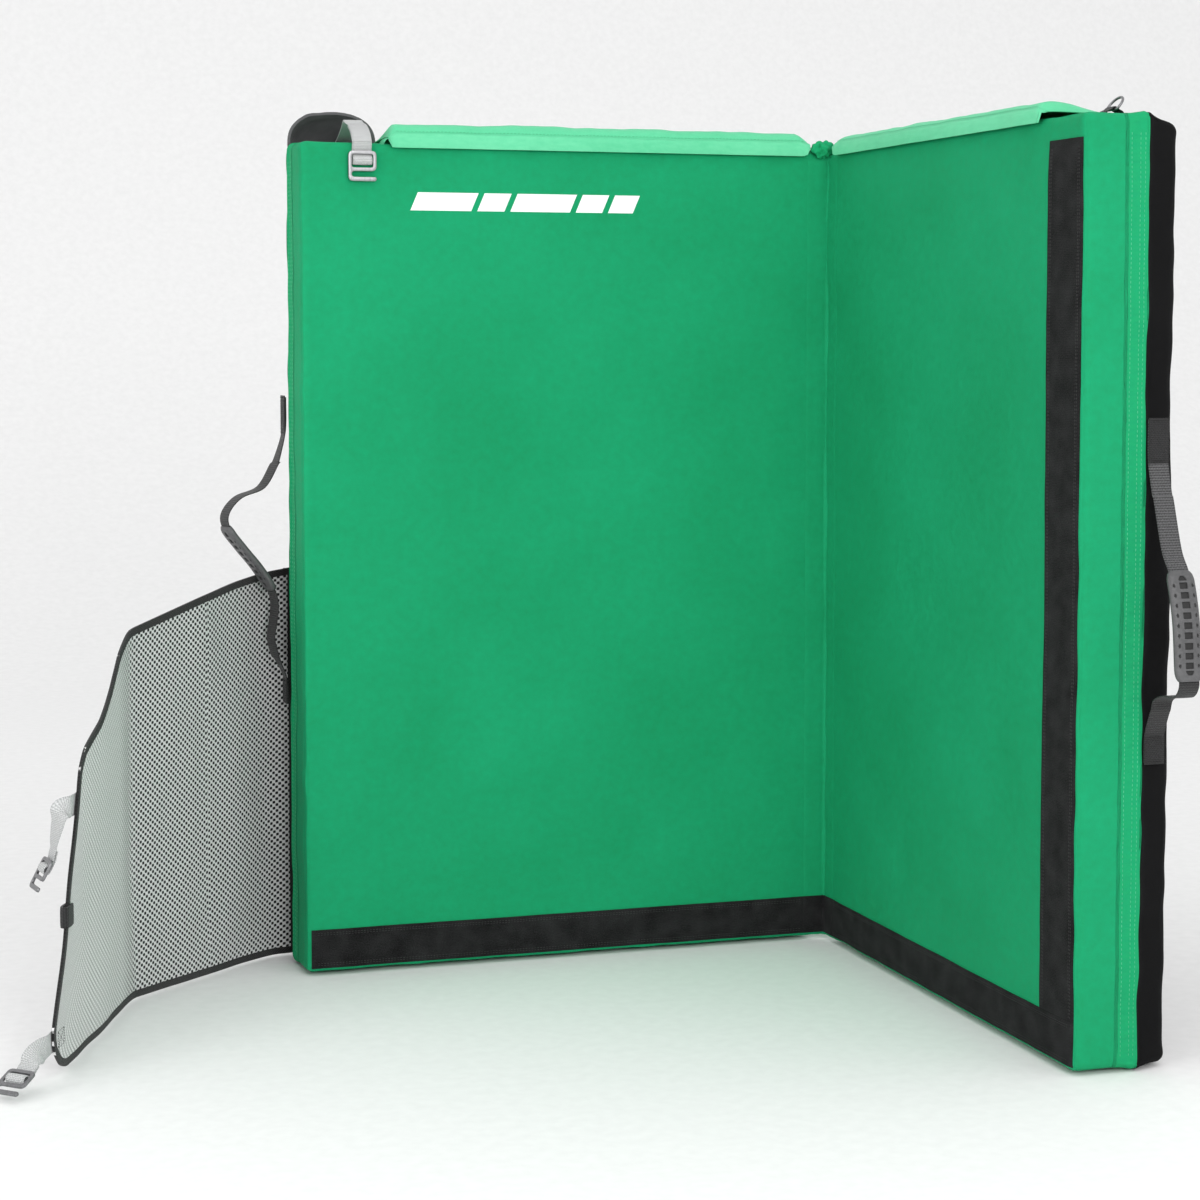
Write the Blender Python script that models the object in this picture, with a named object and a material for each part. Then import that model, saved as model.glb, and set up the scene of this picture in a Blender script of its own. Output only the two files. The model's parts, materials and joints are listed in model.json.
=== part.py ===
"""Folding bouldering crash pad, standing on its long edge and opened to a right angle.

Two foam panels share one upright fabric fold. Each panel is a foam sandwich in a landing cover
and a base cover. A knitted gear flap hangs on the left panel's outer edge, a link flap runs along
the top of each panel, and hook-and-loop tape runs along the bottom and one side.

Every piece is drawn in its panel's own frame: x runs away from the fold (negative on the left
panel), y runs from the fold axis into the foam, and z is up.
"""
import math

import bmesh
import bpy
from mathutils import Matrix, Vector

# Driving dimensions, in metres.
PAD_HEIGHT = 1.067
PANEL_REACH = 0.711
PANEL_DEPTH = 0.127
SEAM_DEPTH = 0.080
FOLD_GAP = 0.006
SIDE_GAP = 0.003
COVER = 0.0015
CLEAR = 0.0004
FRONT_ROUND = 0.008
BACK_ROUND = 0.008
BASE_TAPER = 0.012
CORNER_ROUND = 0.014
CORNER_LEAST = 0.003
FOAM_TOP = 0.019
FOAM_BASE = 0.019

TAPE = 0.0015
WEBBING = 0.0016
WEBBING_WIDTH = 0.025
LAYER_GAP = 0.0003
STRIP_WIDTH = 0.050
SIDE_STRIP_WIDTH = 0.074
STRIP_FOOT = 0.010
STRIP_NEAR = 0.018
LEFT_STRIP_FAR = 0.700
RIGHT_STRIP_FAR = 0.702
SIDE_STRIP_TOP = 1.035
LEAF_SPAN = (0.0025, 0.016)
LEAF_INSET = 0.020

LINK_NEAR = 0.020
LEFT_LINK = (0.594, 0.0200)
RIGHT_LINK = (0.611, 0.0140)
LINK_ROOT = (0.076, 0.0020)
HOOD_PLACE = 0.649
HOOD_RINGS = ((0.086, 0.054, 0.036), (0.100, 0.052, 0.031), (0.114, 0.046, 0.022))
HOOD_LIFT = 0.0006
HOOD_SKIN = 0.0022

BUCKLE_WIDTH = 0.036
BUCKLE_HEIGHT = 0.038
BUCKLE_THICK = 0.0030
BUCKLE_SWING = 0.0015
BUCKLE_BAR = 0.0042
BUCKLE_CUT = 0.003
HOOK_SLOT = (0.0052, 0.0125)

HANDLE_PLANE = 0.093
HANDLE_PIVOT = 0.012
LEFT_HANDLE_TURN = math.radians(14)

FLAP_THICK = 0.0024
BINDING_THICK = 0.0034
BINDING_WIDTH = 0.009
FLAP_FOOT = 0.004

STRAP_PLACE = 0.629
STRAP_OFFSET = 0.010
STRAP_ROOT = ((0.098, 0.0022), (0.086, 0.0060), (0.066, 0.0150), (0.047, 0.0205))
STRAP_LIFT = (0.0445, 0.0210)
STRAP_HANG = ((0.042, 0.0210), (0.022, 0.0180), (0.004, 0.0080), (-0.0050, -0.0050))
STRAP_FOLD = (-0.0050, -0.0140)
RING_WIRE = 0.0016
RING_SIZE = (0.026, 0.018)
RING_LIFT = 0.0042
RING_LEAN = math.radians(-38)
RING_SIDES = 6
RING_TAB = ((0.010, 0.0010), (0.005, 0.0038), (0.000, 0.0072), (-0.005, 0.0038), (-0.010, 0.0014))
RING_TAB_WIDTH = 0.018
RING_TAB_THICK = 0.0012
HARNESS_PLACES = (0.255, 0.455)

# The pad's plan is shifted so that its origin is the middle of its footprint's box.
PLAN_SHIFT = Vector((0.4982, 0.2865, 0.0))

GREEN = (0.020, 0.30, 0.125)
BRIGHT_GREEN = (0.060, 0.42, 0.21)
BLACK = (0.012, 0.012, 0.013)
FELT = (0.016, 0.016, 0.017)
GREY_WEBBING = (0.55, 0.56, 0.56)
DARK_WEBBING = (0.070, 0.070, 0.072)
MESH_GREY = (0.38, 0.38, 0.38)
FOAM_GREY = (0.20, 0.21, 0.22)
FOAM_CREAM = (0.75, 0.70, 0.55)
GRIP_GREY = (0.090, 0.090, 0.092)
METAL = (0.62, 0.63, 0.64)


def clear_scene():
    for item in list(bpy.data.objects):
        bpy.data.objects.remove(item, do_unlink=True)


def make_material(name, colour, roughness, metallic=0.0):
    material = bpy.data.materials.get(name)
    if material:
        return material
    material = bpy.data.materials.new(name)
    material.use_nodes = True
    shader = material.node_tree.nodes["Principled BSDF"]
    shader.inputs["Base Color"].default_value = (*colour, 1.0)
    shader.inputs["Roughness"].default_value = roughness
    shader.inputs["Metallic"].default_value = metallic
    return material


def add_object(name, shape, parent, colour, roughness=0.8, metallic=0.0, pivot=(0, 0, 0)):
    """Turn a bmesh drawn in its panel's frame into an object whose origin is its pivot."""
    bmesh.ops.recalc_face_normals(shape, faces=shape.faces)
    if shape.calc_volume(signed=True) < 0:
        bmesh.ops.reverse_faces(shape, faces=shape.faces)
    bmesh.ops.translate(shape, verts=shape.verts, vec=-Vector(pivot))
    mesh = bpy.data.meshes.new(name)
    shape.to_mesh(mesh)
    shape.free()
    mesh.shade_smooth()
    mesh.set_sharp_from_angle(angle=math.radians(35))
    item = bpy.data.objects.new(name, mesh)
    bpy.context.scene.collection.objects.link(item)
    item.parent = parent
    item.location = pivot
    mesh.materials.append(make_material(name, colour, roughness, metallic))
    return item


def add_frame(name, location, turn):
    frame = bpy.data.objects.new(name, None)
    bpy.context.scene.collection.objects.link(frame)
    frame.location = location
    frame.rotation_euler = (0, 0, turn)
    return frame


def loft(shape, rings):
    """Join equal rings of points with quads and close both ends."""
    loops = [[shape.verts.new(point) for point in ring] for ring in rings]
    for low, high in zip(loops, loops[1:]):
        for i in range(len(low)):
            j = (i + 1) % len(low)
            shape.faces.new((low[i], low[j], high[j], high[i]))
    shape.faces.new(list(reversed(loops[0])))
    shape.faces.new(loops[-1])


def box(shape, low, high):
    """A rectangular block between two corners."""
    corners = [(low[0], low[1]), (high[0], low[1]), (high[0], high[1]), (low[0], high[1])]
    loft(shape, [[(x, y, z) for x, y in corners] for z in (low[2], high[2])])


def extrude_outline(shape, outlines, place, thickness):
    """Fill flat outlines (the first is the border, the rest are holes) and give them thickness.

    place turns a flat (u, v, w) into a point of the panel's frame, w being the thickness.
    """
    edges = []
    for outline in outlines:
        points = [shape.verts.new((u, v, -thickness / 2)) for u, v in outline]
        edges += [shape.edges.new((a, b)) for a, b in zip(points, points[1:] + points[:1])]
    bmesh.ops.triangle_fill(shape, use_beauty=True, use_dissolve=False, edges=edges)
    bmesh.ops.recalc_face_normals(shape, faces=shape.faces)
    grown = bmesh.ops.extrude_face_region(shape, geom=list(shape.faces), use_keep_orig=True)
    lifted = [item for item in grown["geom"] if isinstance(item, bmesh.types.BMVert)]
    bmesh.ops.translate(shape, verts=lifted, vec=(0, 0, thickness))
    for vert in shape.verts:
        vert.co = place(*vert.co)


def smooth_path(points, steps=4):
    """Catmull-Rom curve through the points, with steps stretches between each pair."""
    points = [Vector(p) for p in points]
    ends = [points[0] * 2 - points[1]] + points + [points[-1] * 2 - points[-2]]
    path = []
    for a, b, c, d in zip(ends, ends[1:], ends[2:], ends[3:]):
        for k in range(steps):
            t = k / steps
            path.append(0.5 * (2 * b + (c - a) * t + (2 * a - 5 * b + 4 * c - d) * t * t
                               + (3 * b - a - 3 * c + d) * t ** 3))
    return path + [points[-1]]


def band_rings(path, across, width, thickness, across_end=None):
    """Rectangles along a path; across is the direction of the band's width.

    A band with an across_end twists from the one direction to the other.
    """
    first = Vector(across).normalized()
    last = Vector(across_end or across).normalized()
    rings = []
    for i, point in enumerate(path):
        along = (path[min(i + 1, len(path) - 1)] - path[max(i - 1, 0)]).normalized()
        here = first.lerp(last, i / (len(path) - 1))
        here = (here - along * here.dot(along)).normalized()
        normal = here.cross(along)
        half_w = here * width / 2
        half_t = normal * thickness / 2
        rings.append([point - half_w - half_t, point + half_w - half_t,
                      point + half_w + half_t, point - half_w + half_t])
    return rings


def add_band(shape, points, across, width=WEBBING_WIDTH, thickness=WEBBING, steps=4,
             across_end=None):
    """A strap of constant width along a smooth path."""
    path = smooth_path(points, steps)
    loft(shape, band_rings(path, across, width, thickness, across_end))


# ---------------------------------------------------------------- panels

def edge_inset(depth, offset):
    """How far the panel's rounded profile stands in from its sides at a depth."""
    if depth < FRONT_ROUND:
        radius = FRONT_ROUND - offset
        part = min(1.0, (FRONT_ROUND - depth) / radius)
        return FRONT_ROUND - radius * math.sqrt(max(0.0, 1 - part * part))
    start = PANEL_DEPTH - BACK_ROUND
    if depth > start:
        radius = BACK_ROUND - offset
        part = min(1.0, (depth - start) / radius)
        return BACK_ROUND - radius * math.sqrt(max(0.0, 1 - part * part))
    return offset


def panel_ring(depth, offset, sign):
    """The panel's rounded-rectangle outline at a depth, offset inwards."""
    inset = edge_inset(depth, offset)
    taper = BASE_TAPER * max(0.0, depth - SEAM_DEPTH) / (PANEL_DEPTH - SEAM_DEPTH)
    low_x, high_x = SIDE_GAP + inset, PANEL_REACH - inset - taper
    low_z, high_z = inset, PAD_HEIGHT - inset - taper
    radius = max(CORNER_ROUND - inset, CORNER_LEAST)
    centres = ((high_x - radius, high_z - radius, 0), (low_x + radius, high_z - radius, 90),
               (low_x + radius, low_z + radius, 180), (high_x - radius, low_z + radius, 270))
    ring = []
    for x, z, start in centres:
        for k in range(4):
            angle = math.radians(start + 30 * k)
            along = x + radius * math.cos(angle)
            ring.append((sign * along, FOLD_GAP + depth, z + radius * math.sin(angle)))
    return ring


def profile_depths(low, high, offset):
    """Depths at which the profile needs a ring between two depths."""
    depths = [low, high]
    for k in range(1, 3):
        lean = math.cos(math.radians(30 * k))
        depths.append(FRONT_ROUND - (FRONT_ROUND - offset) * lean)
        depths.append(PANEL_DEPTH - BACK_ROUND + (BACK_ROUND - offset) * lean)
    depths += [FRONT_ROUND, SEAM_DEPTH, PANEL_DEPTH - BACK_ROUND]
    return sorted({round(d, 6) for d in depths if low <= d <= high})


def add_block(name, frame, sign, low, high, offset, colour):
    """A slab of foam that fills the cover between two depths."""
    shape = bmesh.new()
    loft(shape, [panel_ring(d, offset, sign) for d in profile_depths(low, high, offset)])
    add_object(name, shape, frame, colour, 0.95)


def add_cover(name, frame, sign, low, high, colour):
    """A tray of cover cloth: its outer skin, its rim at the seam and its inner skin."""
    shape = bmesh.new()
    opens_back = low == 0.0
    inner_low = low + COVER if opens_back else low
    inner_high = high if opens_back else high - COVER
    outer = [panel_ring(d, 0.0, sign) for d in profile_depths(low, high, 0.0)]
    inner = [panel_ring(d, COVER, sign) for d in profile_depths(inner_low, inner_high, COVER)]
    if opens_back:
        rings = outer + inner[::-1]
    else:
        rings = outer[::-1] + inner
    loft(shape, rings)
    add_object(name, shape, frame, colour, 0.6)


def build_panel(side, frame, sign):
    add_cover(f"{side}_landing_cover", frame, sign, 0.0, SEAM_DEPTH - CLEAR, GREEN)
    add_cover(f"{side}_base_cover", frame, sign, SEAM_DEPTH, PANEL_DEPTH, BLACK)
    skin = COVER + CLEAR
    top_end = skin + FOAM_TOP
    base_start = PANEL_DEPTH - skin - FOAM_BASE
    base_end = PANEL_DEPTH - skin
    add_block(f"{side}_top_foam", frame, sign, skin, top_end, skin, FOAM_GREY)
    add_block(f"{side}_core_foam", frame, sign, top_end + CLEAR, base_start - CLEAR, skin,
              FOAM_CREAM)
    add_block(f"{side}_base_foam", frame, sign, base_start, base_end, skin, FOAM_GREY)
    shape = bmesh.new()
    face_patch(shape, sign, *LEAF_SPAN, LEAF_INSET, PAD_HEIGHT - LEAF_INSET)
    add_object(f"{side}_hinge_leaf", shape, frame, GREEN, 0.6)


def face_patch(shape, sign, near, far, low, high):
    """A thin rectangle of tape on the panel's landing face."""
    x_low, x_high = sorted((sign * near, sign * far))
    y_high = FOLD_GAP - LAYER_GAP
    box(shape, (x_low, y_high - TAPE, low), (x_high, y_high, high))


def build_strips(left, right):
    """Hook-and-loop tape on the landing faces."""
    low, high = STRIP_FOOT, STRIP_FOOT + STRIP_WIDTH
    strips = (("left_bottom_strip", left, -1, STRIP_NEAR, LEFT_STRIP_FAR, low, high),
              ("right_bottom_strip", right, 1, STRIP_NEAR, RIGHT_STRIP_FAR, low, high),
              ("right_side_strip", right, 1, RIGHT_STRIP_FAR - SIDE_STRIP_WIDTH, RIGHT_STRIP_FAR,
               high + CLEAR, SIDE_STRIP_TOP))
    for name, frame, sign, near, far, bottom, top in strips:
        shape = bmesh.new()
        face_patch(shape, sign, near, far, bottom, top)
        add_object(name, shape, frame, FELT, 1.0)


# ---------------------------------------------------------------- top edge

def build_link_flap(side, frame, sign, far, rise):
    """A hooked flap sewn at the top seam that arches over the front top edge."""
    outline = [LINK_ROOT, (0.056, 0.55 * rise), (0.034, 0.92 * rise), (0.012, rise),
               (-0.0005, 0.62 * rise), (-0.0034, -0.0100)]
    path = [(0, FOLD_GAP + y, PAD_HEIGHT + z) for y, z in outline]
    middle = sign * (LINK_NEAR + far) / 2
    shape = bmesh.new()
    add_band(shape, [(middle, y, z) for _, y, z in path], (1, 0, 0), far - LINK_NEAR, TAPE, 3)
    pivot = (middle, path[0][1], path[0][2])
    add_object(f"{side}_link_flap", shape, frame, BRIGHT_GREEN, 0.7, pivot=pivot)


def build_corner_hood(frame):
    """The base cover's loose edge, arched over the top strap's seam."""
    rings = []
    steps = 10
    for y, half, rise in HOOD_RINGS:
        ring = []
        for skin in (0.0, HOOD_SKIN):
            order = range(steps + 1) if skin == 0.0 else range(steps, -1, -1)
            for k in order:
                angle = math.pi * k / steps
                x = -HOOD_PLACE + (half - skin) * math.cos(angle)
                z = PAD_HEIGHT + HOOD_LIFT + (rise - skin) * math.sin(angle)
                ring.append((x, FOLD_GAP + y, z))
        rings.append(ring)
    shape = bmesh.new()
    loft(shape, rings)
    add_object("corner_hood", shape, frame, BLACK, 0.8)


def hook_outlines(width, height):
    """Border and window of a hook buckle: a webbing window above, an open slot below."""
    half = width / 2
    top = height
    bar, cut = BUCKLE_BAR, BUCKLE_CUT
    slot_low, slot_top = HOOK_SLOT
    border = [(-half, slot_top), (-half, top - cut), (-half + cut, top), (half - cut, top),
              (half, top - cut), (half, cut), (half - cut, 0), (-half + cut, 0), (-half, cut),
              (-half, slot_low + 0.002), (-half + 0.0025, slot_low), (half - bar, slot_low),
              (half - bar, slot_top)]
    window = [(-half + bar, slot_top + 0.0045), (half - bar, slot_top + 0.0045),
              (half - bar, top - bar), (-half + bar, top - bar)]
    return [border, window]


def add_buckle(name, frame, pivot, across, down):
    """A hook buckle that turns where its webbing bends, just above it; down is to its hook."""
    across = Vector(across).normalized()
    down = Vector(down).normalized()
    out = across.cross(down)
    pivot = Vector(pivot)
    base = pivot + down * (BUCKLE_HEIGHT + BUCKLE_SWING)

    def place(u, v, w):
        return base + across * u - down * v + out * w

    shape = bmesh.new()
    extrude_outline(shape, hook_outlines(BUCKLE_WIDTH, BUCKLE_HEIGHT), place, BUCKLE_THICK)
    add_object(name, shape, frame, METAL, 0.35, 1.0, pivot=pivot)


def build_top_strap(frame):
    """Webbing over the top edge with a hook buckle, for holding the pad shut."""

    def put(y, z):
        return Vector((-STRAP_PLACE, FOLD_GAP + y, PAD_HEIGHT + z))

    shape = bmesh.new()
    add_band(shape, [put(*p) for p in STRAP_ROOT], (1, 0, 0))
    add_object("top_strap_root", shape, frame, GREY_WEBBING, 0.7)
    fold = put(*STRAP_FOLD)
    hang = [put(*p) for p in STRAP_HANG] + [fold + Vector((0, 0, BUCKLE_SWING))]
    shape = bmesh.new()
    add_band(shape, hang, (1, 0, 0))
    add_object("top_strap", shape, frame, GREY_WEBBING, 0.7, pivot=put(*STRAP_LIFT))
    add_buckle("top_buckle", frame, fold, (1, 0, 0), (0, 0, -1))


def ring_outline(width, height, count=10):
    """A D shape: a flat bar at the bottom and a half-round above it."""
    half = width / 2
    points = [(-half, 0.0), (half, 0.0)]
    for k in range(count + 1):
        angle = math.pi * k / count
        points.append((half * math.cos(angle), height * (0.35 + 0.65 * math.sin(angle))))
    return points


def build_top_ring(frame):
    """A wire ring held by a webbing tab in the right panel's top seam."""
    centre = Vector((STRAP_PLACE, FOLD_GAP + SEAM_DEPTH - 0.004, PAD_HEIGHT + RING_LIFT))
    tab = [(STRAP_PLACE, centre.y + y, PAD_HEIGHT + z) for y, z in RING_TAB]
    shape = bmesh.new()
    add_band(shape, tab, (1, 0, 0), RING_TAB_WIDTH, RING_TAB_THICK)
    add_object("ring_tab", shape, frame, BLACK, 0.8)
    lean = Matrix.Rotation(RING_LEAN, 3, "X")
    outline = ring_outline(*RING_SIZE)
    path = [centre + lean @ Vector((u, 0, v)) for u, v in outline[1:] + outline[:1]]
    shape = bmesh.new()
    rings = []
    for i, point in enumerate(path):
        along = (path[(i + 1) % len(path)] - path[i - 1]).normalized()
        side = lean @ Vector((0, 1, 0))
        out = along.cross(side)
        ring = []
        for k in range(RING_SIDES):
            angle = math.tau * k / RING_SIDES
            ring.append(point + (side * math.cos(angle) + out * math.sin(angle)) * RING_WIRE)
        rings.append(ring)
    loops = [[shape.verts.new(p) for p in ring] for ring in rings]
    for low, high in zip(loops, loops[1:] + loops[:1]):
        for k in range(RING_SIDES):
            j = (k + 1) % RING_SIDES
            shape.faces.new((low[k], low[j], high[j], high[k]))
    add_object("top_ring", shape, frame, METAL, 0.4, 1.0, pivot=centre)


# ---------------------------------------------------------------- handles

RIGHT_BOW = ((0.0155, 0.640), (0.034, 0.587), (0.052, 0.560), (0.066, 0.514), (0.072, 0.462),
             (0.075, 0.443), (0.064, 0.430), (0.040, 0.428), (0.0210, 0.421), (0.0155, 0.409))
RIGHT_GRIP = (0.562, 0.449)
LEFT_BOW = ((0.0155, 0.652), (0.034, 0.624), (0.066, 0.612), (0.084, 0.592), (0.082, 0.572),
            (0.062, 0.546), (0.040, 0.520), (0.021, 0.491), (0.0160, 0.470), (0.0185, 0.448),
            (0.0215, 0.428), (0.0155, 0.404))
LEFT_GRIP = (0.578, 0.488)
STUB_OUT = (0.0018, 0.0018, 0.0040, 0.0120)
TOP_STUB = (0.088, 0.055, 0.035, 0.006)
BOTTOM_STUB = (-0.060, -0.040, -0.025, -0.006)
GRIP_WALL = 0.0032
GRIP_FIT = 0.0012
GRIP_RIM = 0.0035


def build_handle(side, frame, sign, bow, grip_span, turn):
    """A webbing handle with a rubber grip sleeve, and its stitched anchors."""
    face = sign * PANEL_REACH
    pivot = Vector((face + sign * HANDLE_PIVOT, FOLD_GAP + HANDLE_PLANE, 0))
    forward = Matrix.Rotation(turn, 3, "Z")
    across = forward @ Vector((0, 1, 0))

    def place(out, z):
        return pivot + forward @ Vector((sign * (out - HANDLE_PIVOT), 0, z))

    path = smooth_path([place(*p) for p in bow], 4)
    shape = bmesh.new()
    loft(shape, band_rings(path, across, WEBBING_WIDTH, WEBBING))
    add_object(f"{side}_handle_webbing", shape, frame, DARK_WEBBING, 0.8, pivot=pivot)
    held = [p for p in path if grip_span[1] <= p.z <= grip_span[0]]
    add_grip(f"{side}_handle_grip", frame, held, across, pivot)
    ends = (("top", bow[0][1], TOP_STUB), ("bottom", bow[-1][1], BOTTOM_STUB))
    for end, height, steps in ends:
        stub = zip(STUB_OUT, steps)
        points = [(face + sign * out, FOLD_GAP + HANDLE_PLANE, height + up) for out, up in stub]
        shape = bmesh.new()
        add_band(shape, points, (0, 1, 0))
        add_object(f"{side}_handle_anchor_{end}", shape, frame, DARK_WEBBING, 0.8)


def add_grip(name, frame, path, across, pivot):
    """A rubber sleeve around the webbing, open at both ends."""
    shape = bmesh.new()
    outer = band_rings(path, across, WEBBING_WIDTH + 2 * GRIP_RIM, WEBBING + 2 * GRIP_WALL)
    inner = band_rings(path, across, WEBBING_WIDTH + GRIP_FIT, WEBBING + GRIP_FIT)
    skins = []
    for rings in (outer, inner):
        loops = [[shape.verts.new(p) for p in ring] for ring in rings]
        for low, high in zip(loops, loops[1:]):
            for i in range(4):
                j = (i + 1) % 4
                shape.faces.new((low[i], low[j], high[j], high[i]))
        skins.append(loops)
    for end in (0, -1):
        out_loop, in_loop = skins[0][end], skins[1][end]
        for i in range(4):
            j = (i + 1) % 4
            shape.faces.new((out_loop[i], out_loop[j], in_loop[j], in_loop[i]))
    add_object(name, shape, frame, GRIP_GREY, 0.6, pivot=pivot)


# ---------------------------------------------------------------- gear flap

FLAP_ROOT = Vector((-0.7005, 0.1345, 0))
FLAP_KNEE = Vector((-0.7420, 0.1220, 0))
FLAP_CREASE = Vector((-0.9347, -0.0421, 0))
FLAP_TIP_HEADING = math.radians(-111.7)
CREASE_GAP = 0.0022
INNER_TOP = ((0.000, 0.515), (0.085, 0.502), (0.160, 0.489), (0.235, 0.473), (0.300, 0.459))
OUTER_TOP = ((0.000, 0.459), (0.053, 0.436), (0.093, 0.401), (0.150, 0.369), (0.215, 0.347))
OUTER_EDGE = ((0.238, 0.326), (0.252, 0.290), (0.282, 0.220), (0.320, 0.138), (0.356, 0.072),
              (0.3655, 0.050), (0.357, 0.030), (0.336, 0.012), (0.312, FLAP_FOOT))


def height_at(profile, along):
    """Straight interpolation in a list of (distance, height) points."""
    for (a, low), (b, high) in zip(profile, profile[1:]):
        if along <= b:
            return low + (high - low) * (along - a) / (b - a)
    return profile[-1][1]


def flap_inner_path():
    """Plan of the flap's first stretch, from its seam to its crease."""
    middle = FLAP_KNEE.lerp(FLAP_CREASE, 0.5)
    return smooth_path([FLAP_ROOT, FLAP_KNEE, middle, FLAP_CREASE], 4)


def add_wall(shape, path, low, high, thickness):
    """An upright sheet over a plan path, between two height functions."""
    rings = []
    run = 0.0
    for i, point in enumerate(path):
        if i:
            run += (point - path[i - 1]).length
        along = (path[min(i + 1, len(path) - 1)] - path[max(i - 1, 0)]).normalized()
        side = along.cross(Vector((0, 0, 1))) * thickness / 2
        foot = Vector((0, 0, low(run)))
        head = Vector((0, 0, high(run)))
        rings.append([point - side + foot, point + side + foot,
                      point + side + head, point - side + head])
    loft(shape, rings)


def build_flap_inner(frame):
    path = flap_inner_path()
    start = path[0].lerp(path[1], 0.25)
    heading = (path[-1] - path[-2]).normalized()
    path = [start] + path[1:-1] + [path[-1] - heading * CREASE_GAP]

    def top(run):
        return height_at(INNER_TOP, run)

    shape = bmesh.new()
    add_wall(shape, path, lambda run: FLAP_FOOT + BINDING_WIDTH + CLEAR,
             lambda run: top(run) - BINDING_WIDTH - CLEAR, FLAP_THICK)
    add_object("flap_mesh_inner", shape, frame, MESH_GREY, 0.8, pivot=FLAP_ROOT)
    shape = bmesh.new()
    add_wall(shape, path, lambda run: FLAP_FOOT, lambda run: FLAP_FOOT + BINDING_WIDTH,
             BINDING_THICK)
    add_object("flap_binding_foot", shape, frame, BLACK, 0.7, pivot=FLAP_ROOT)
    shape = bmesh.new()
    add_wall(shape, path, lambda run: top(run) - BINDING_WIDTH, top, BINDING_THICK)
    add_object("flap_binding_head", shape, frame, BLACK, 0.7, pivot=FLAP_ROOT)


def inset_outline(points, amount):
    """Move an open outline to its right by a distance, with mitred corners."""
    moved = []
    for i, (u, v) in enumerate(points):
        here = Vector((u, v))
        before = (here - Vector(points[i - 1])).normalized() if i else None
        after = None
        if i < len(points) - 1:
            after = (Vector(points[i + 1]) - here).normalized()
        before = before or after
        after = after or before
        normal = Vector((before.y, -before.x)) + Vector((after.y, -after.x))
        normal.normalize()
        stretch = amount / max(0.5, normal.dot(Vector((before.y, -before.x))))
        moved.append(tuple(here + normal * stretch))
    return moved


def tip_place(u, v, w):
    """Flat flap coordinates (along, height, thickness) to the left panel's frame."""
    along = Vector((math.cos(FLAP_TIP_HEADING), math.sin(FLAP_TIP_HEADING), 0))
    side = Vector((-along.y, along.x, 0))
    return FLAP_CREASE + along * u + side * w + Vector((0, 0, v))


def build_flap_outer(frame):
    start = CREASE_GAP
    border = [(start, OUTER_TOP[0][1])] + list(OUTER_TOP[1:]) + list(OUTER_EDGE)
    border.append((start, FLAP_FOOT))
    inner = inset_outline(border, BINDING_WIDTH)
    inner[0] = (start, inner[0][1])
    inner[-1] = (start, inner[-1][1])
    mesh_edge = inset_outline(border, BINDING_WIDTH + CLEAR)
    mesh_edge[0] = (start, mesh_edge[0][1])
    mesh_edge[-1] = (start, mesh_edge[-1][1])
    shape = bmesh.new()
    extrude_outline(shape, [mesh_edge], tip_place, FLAP_THICK)
    add_object("flap_mesh_outer", shape, frame, MESH_GREY, 0.8, pivot=FLAP_CREASE)
    shape = bmesh.new()
    extrude_outline(shape, [border + inner[::-1]], tip_place, BINDING_THICK)
    add_object("flap_binding_outer", shape, frame, BLACK, 0.7, pivot=FLAP_CREASE)


def build_flap_root(frame):
    """Binding tape that sews the flap to the base cover's back corner."""
    shape = bmesh.new()
    heading = (FLAP_KNEE - FLAP_ROOT).normalized()
    foot = FLAP_ROOT - heading * 0.0026
    side = heading.cross(Vector((0, 0, 1))) * BINDING_THICK / 2
    rings = []
    for z in (FLAP_FOOT, INNER_TOP[0][1]):
        up = Vector((0, 0, z))
        ends = (foot, FLAP_ROOT - heading * 0.0006)
        rings.append([ends[0] - side + up, ends[1] - side + up,
                      ends[1] + side + up, ends[0] + side + up])
    loft(shape, rings)
    add_object("flap_root_tape", shape, frame, BLACK, 0.7)


UPPER_STRAP = {"height": 0.289, "heading": math.radians(-172),
               "loop": ((0.012, 0.285), (0.0165, 0.268), (0.0205, 0.250)),
               "buckle": ((0.0260, 0.2330), math.radians(-62))}
LOWER_STRAP = {"height": 0.0435, "heading": math.radians(-135),
               "loop": ((0.014, 0.0415), (0.026, 0.0360)),
               "buckle": ((0.0400, 0.0270), math.radians(-26))}
TAB_REACH = 0.030
KEEPER_SPAN = (0.160, 0.184)
KEEPER_REACH = (-0.022, 0.006)


def edge_point(z):
    """Where the flap's free edge is at a height, as a distance along the tip."""
    pairs = sorted((v, u) for u, v in OUTER_EDGE)
    return height_at([(v, u) for v, u in pairs], z)


def tab_face(skin):
    """Where a tape sewn to the flap's outer face starts and ends in the flap's thickness."""
    near = -BINDING_THICK / 2 - LAYER_GAP
    return near - skin, near


def add_flap_patch(name, frame, low, high, colour):
    """Webbing sewn flat on the flap's outer face, between two (along, height) corners."""
    shape = bmesh.new()
    w_low, w_high = tab_face(WEBBING)
    box(shape, (low[0], low[1], w_low), (high[0], high[1], w_high))
    for vert in shape.verts:
        vert.co = tip_place(*vert.co)
    add_object(name, shape, frame, colour, 0.7, pivot=FLAP_CREASE)


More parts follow.
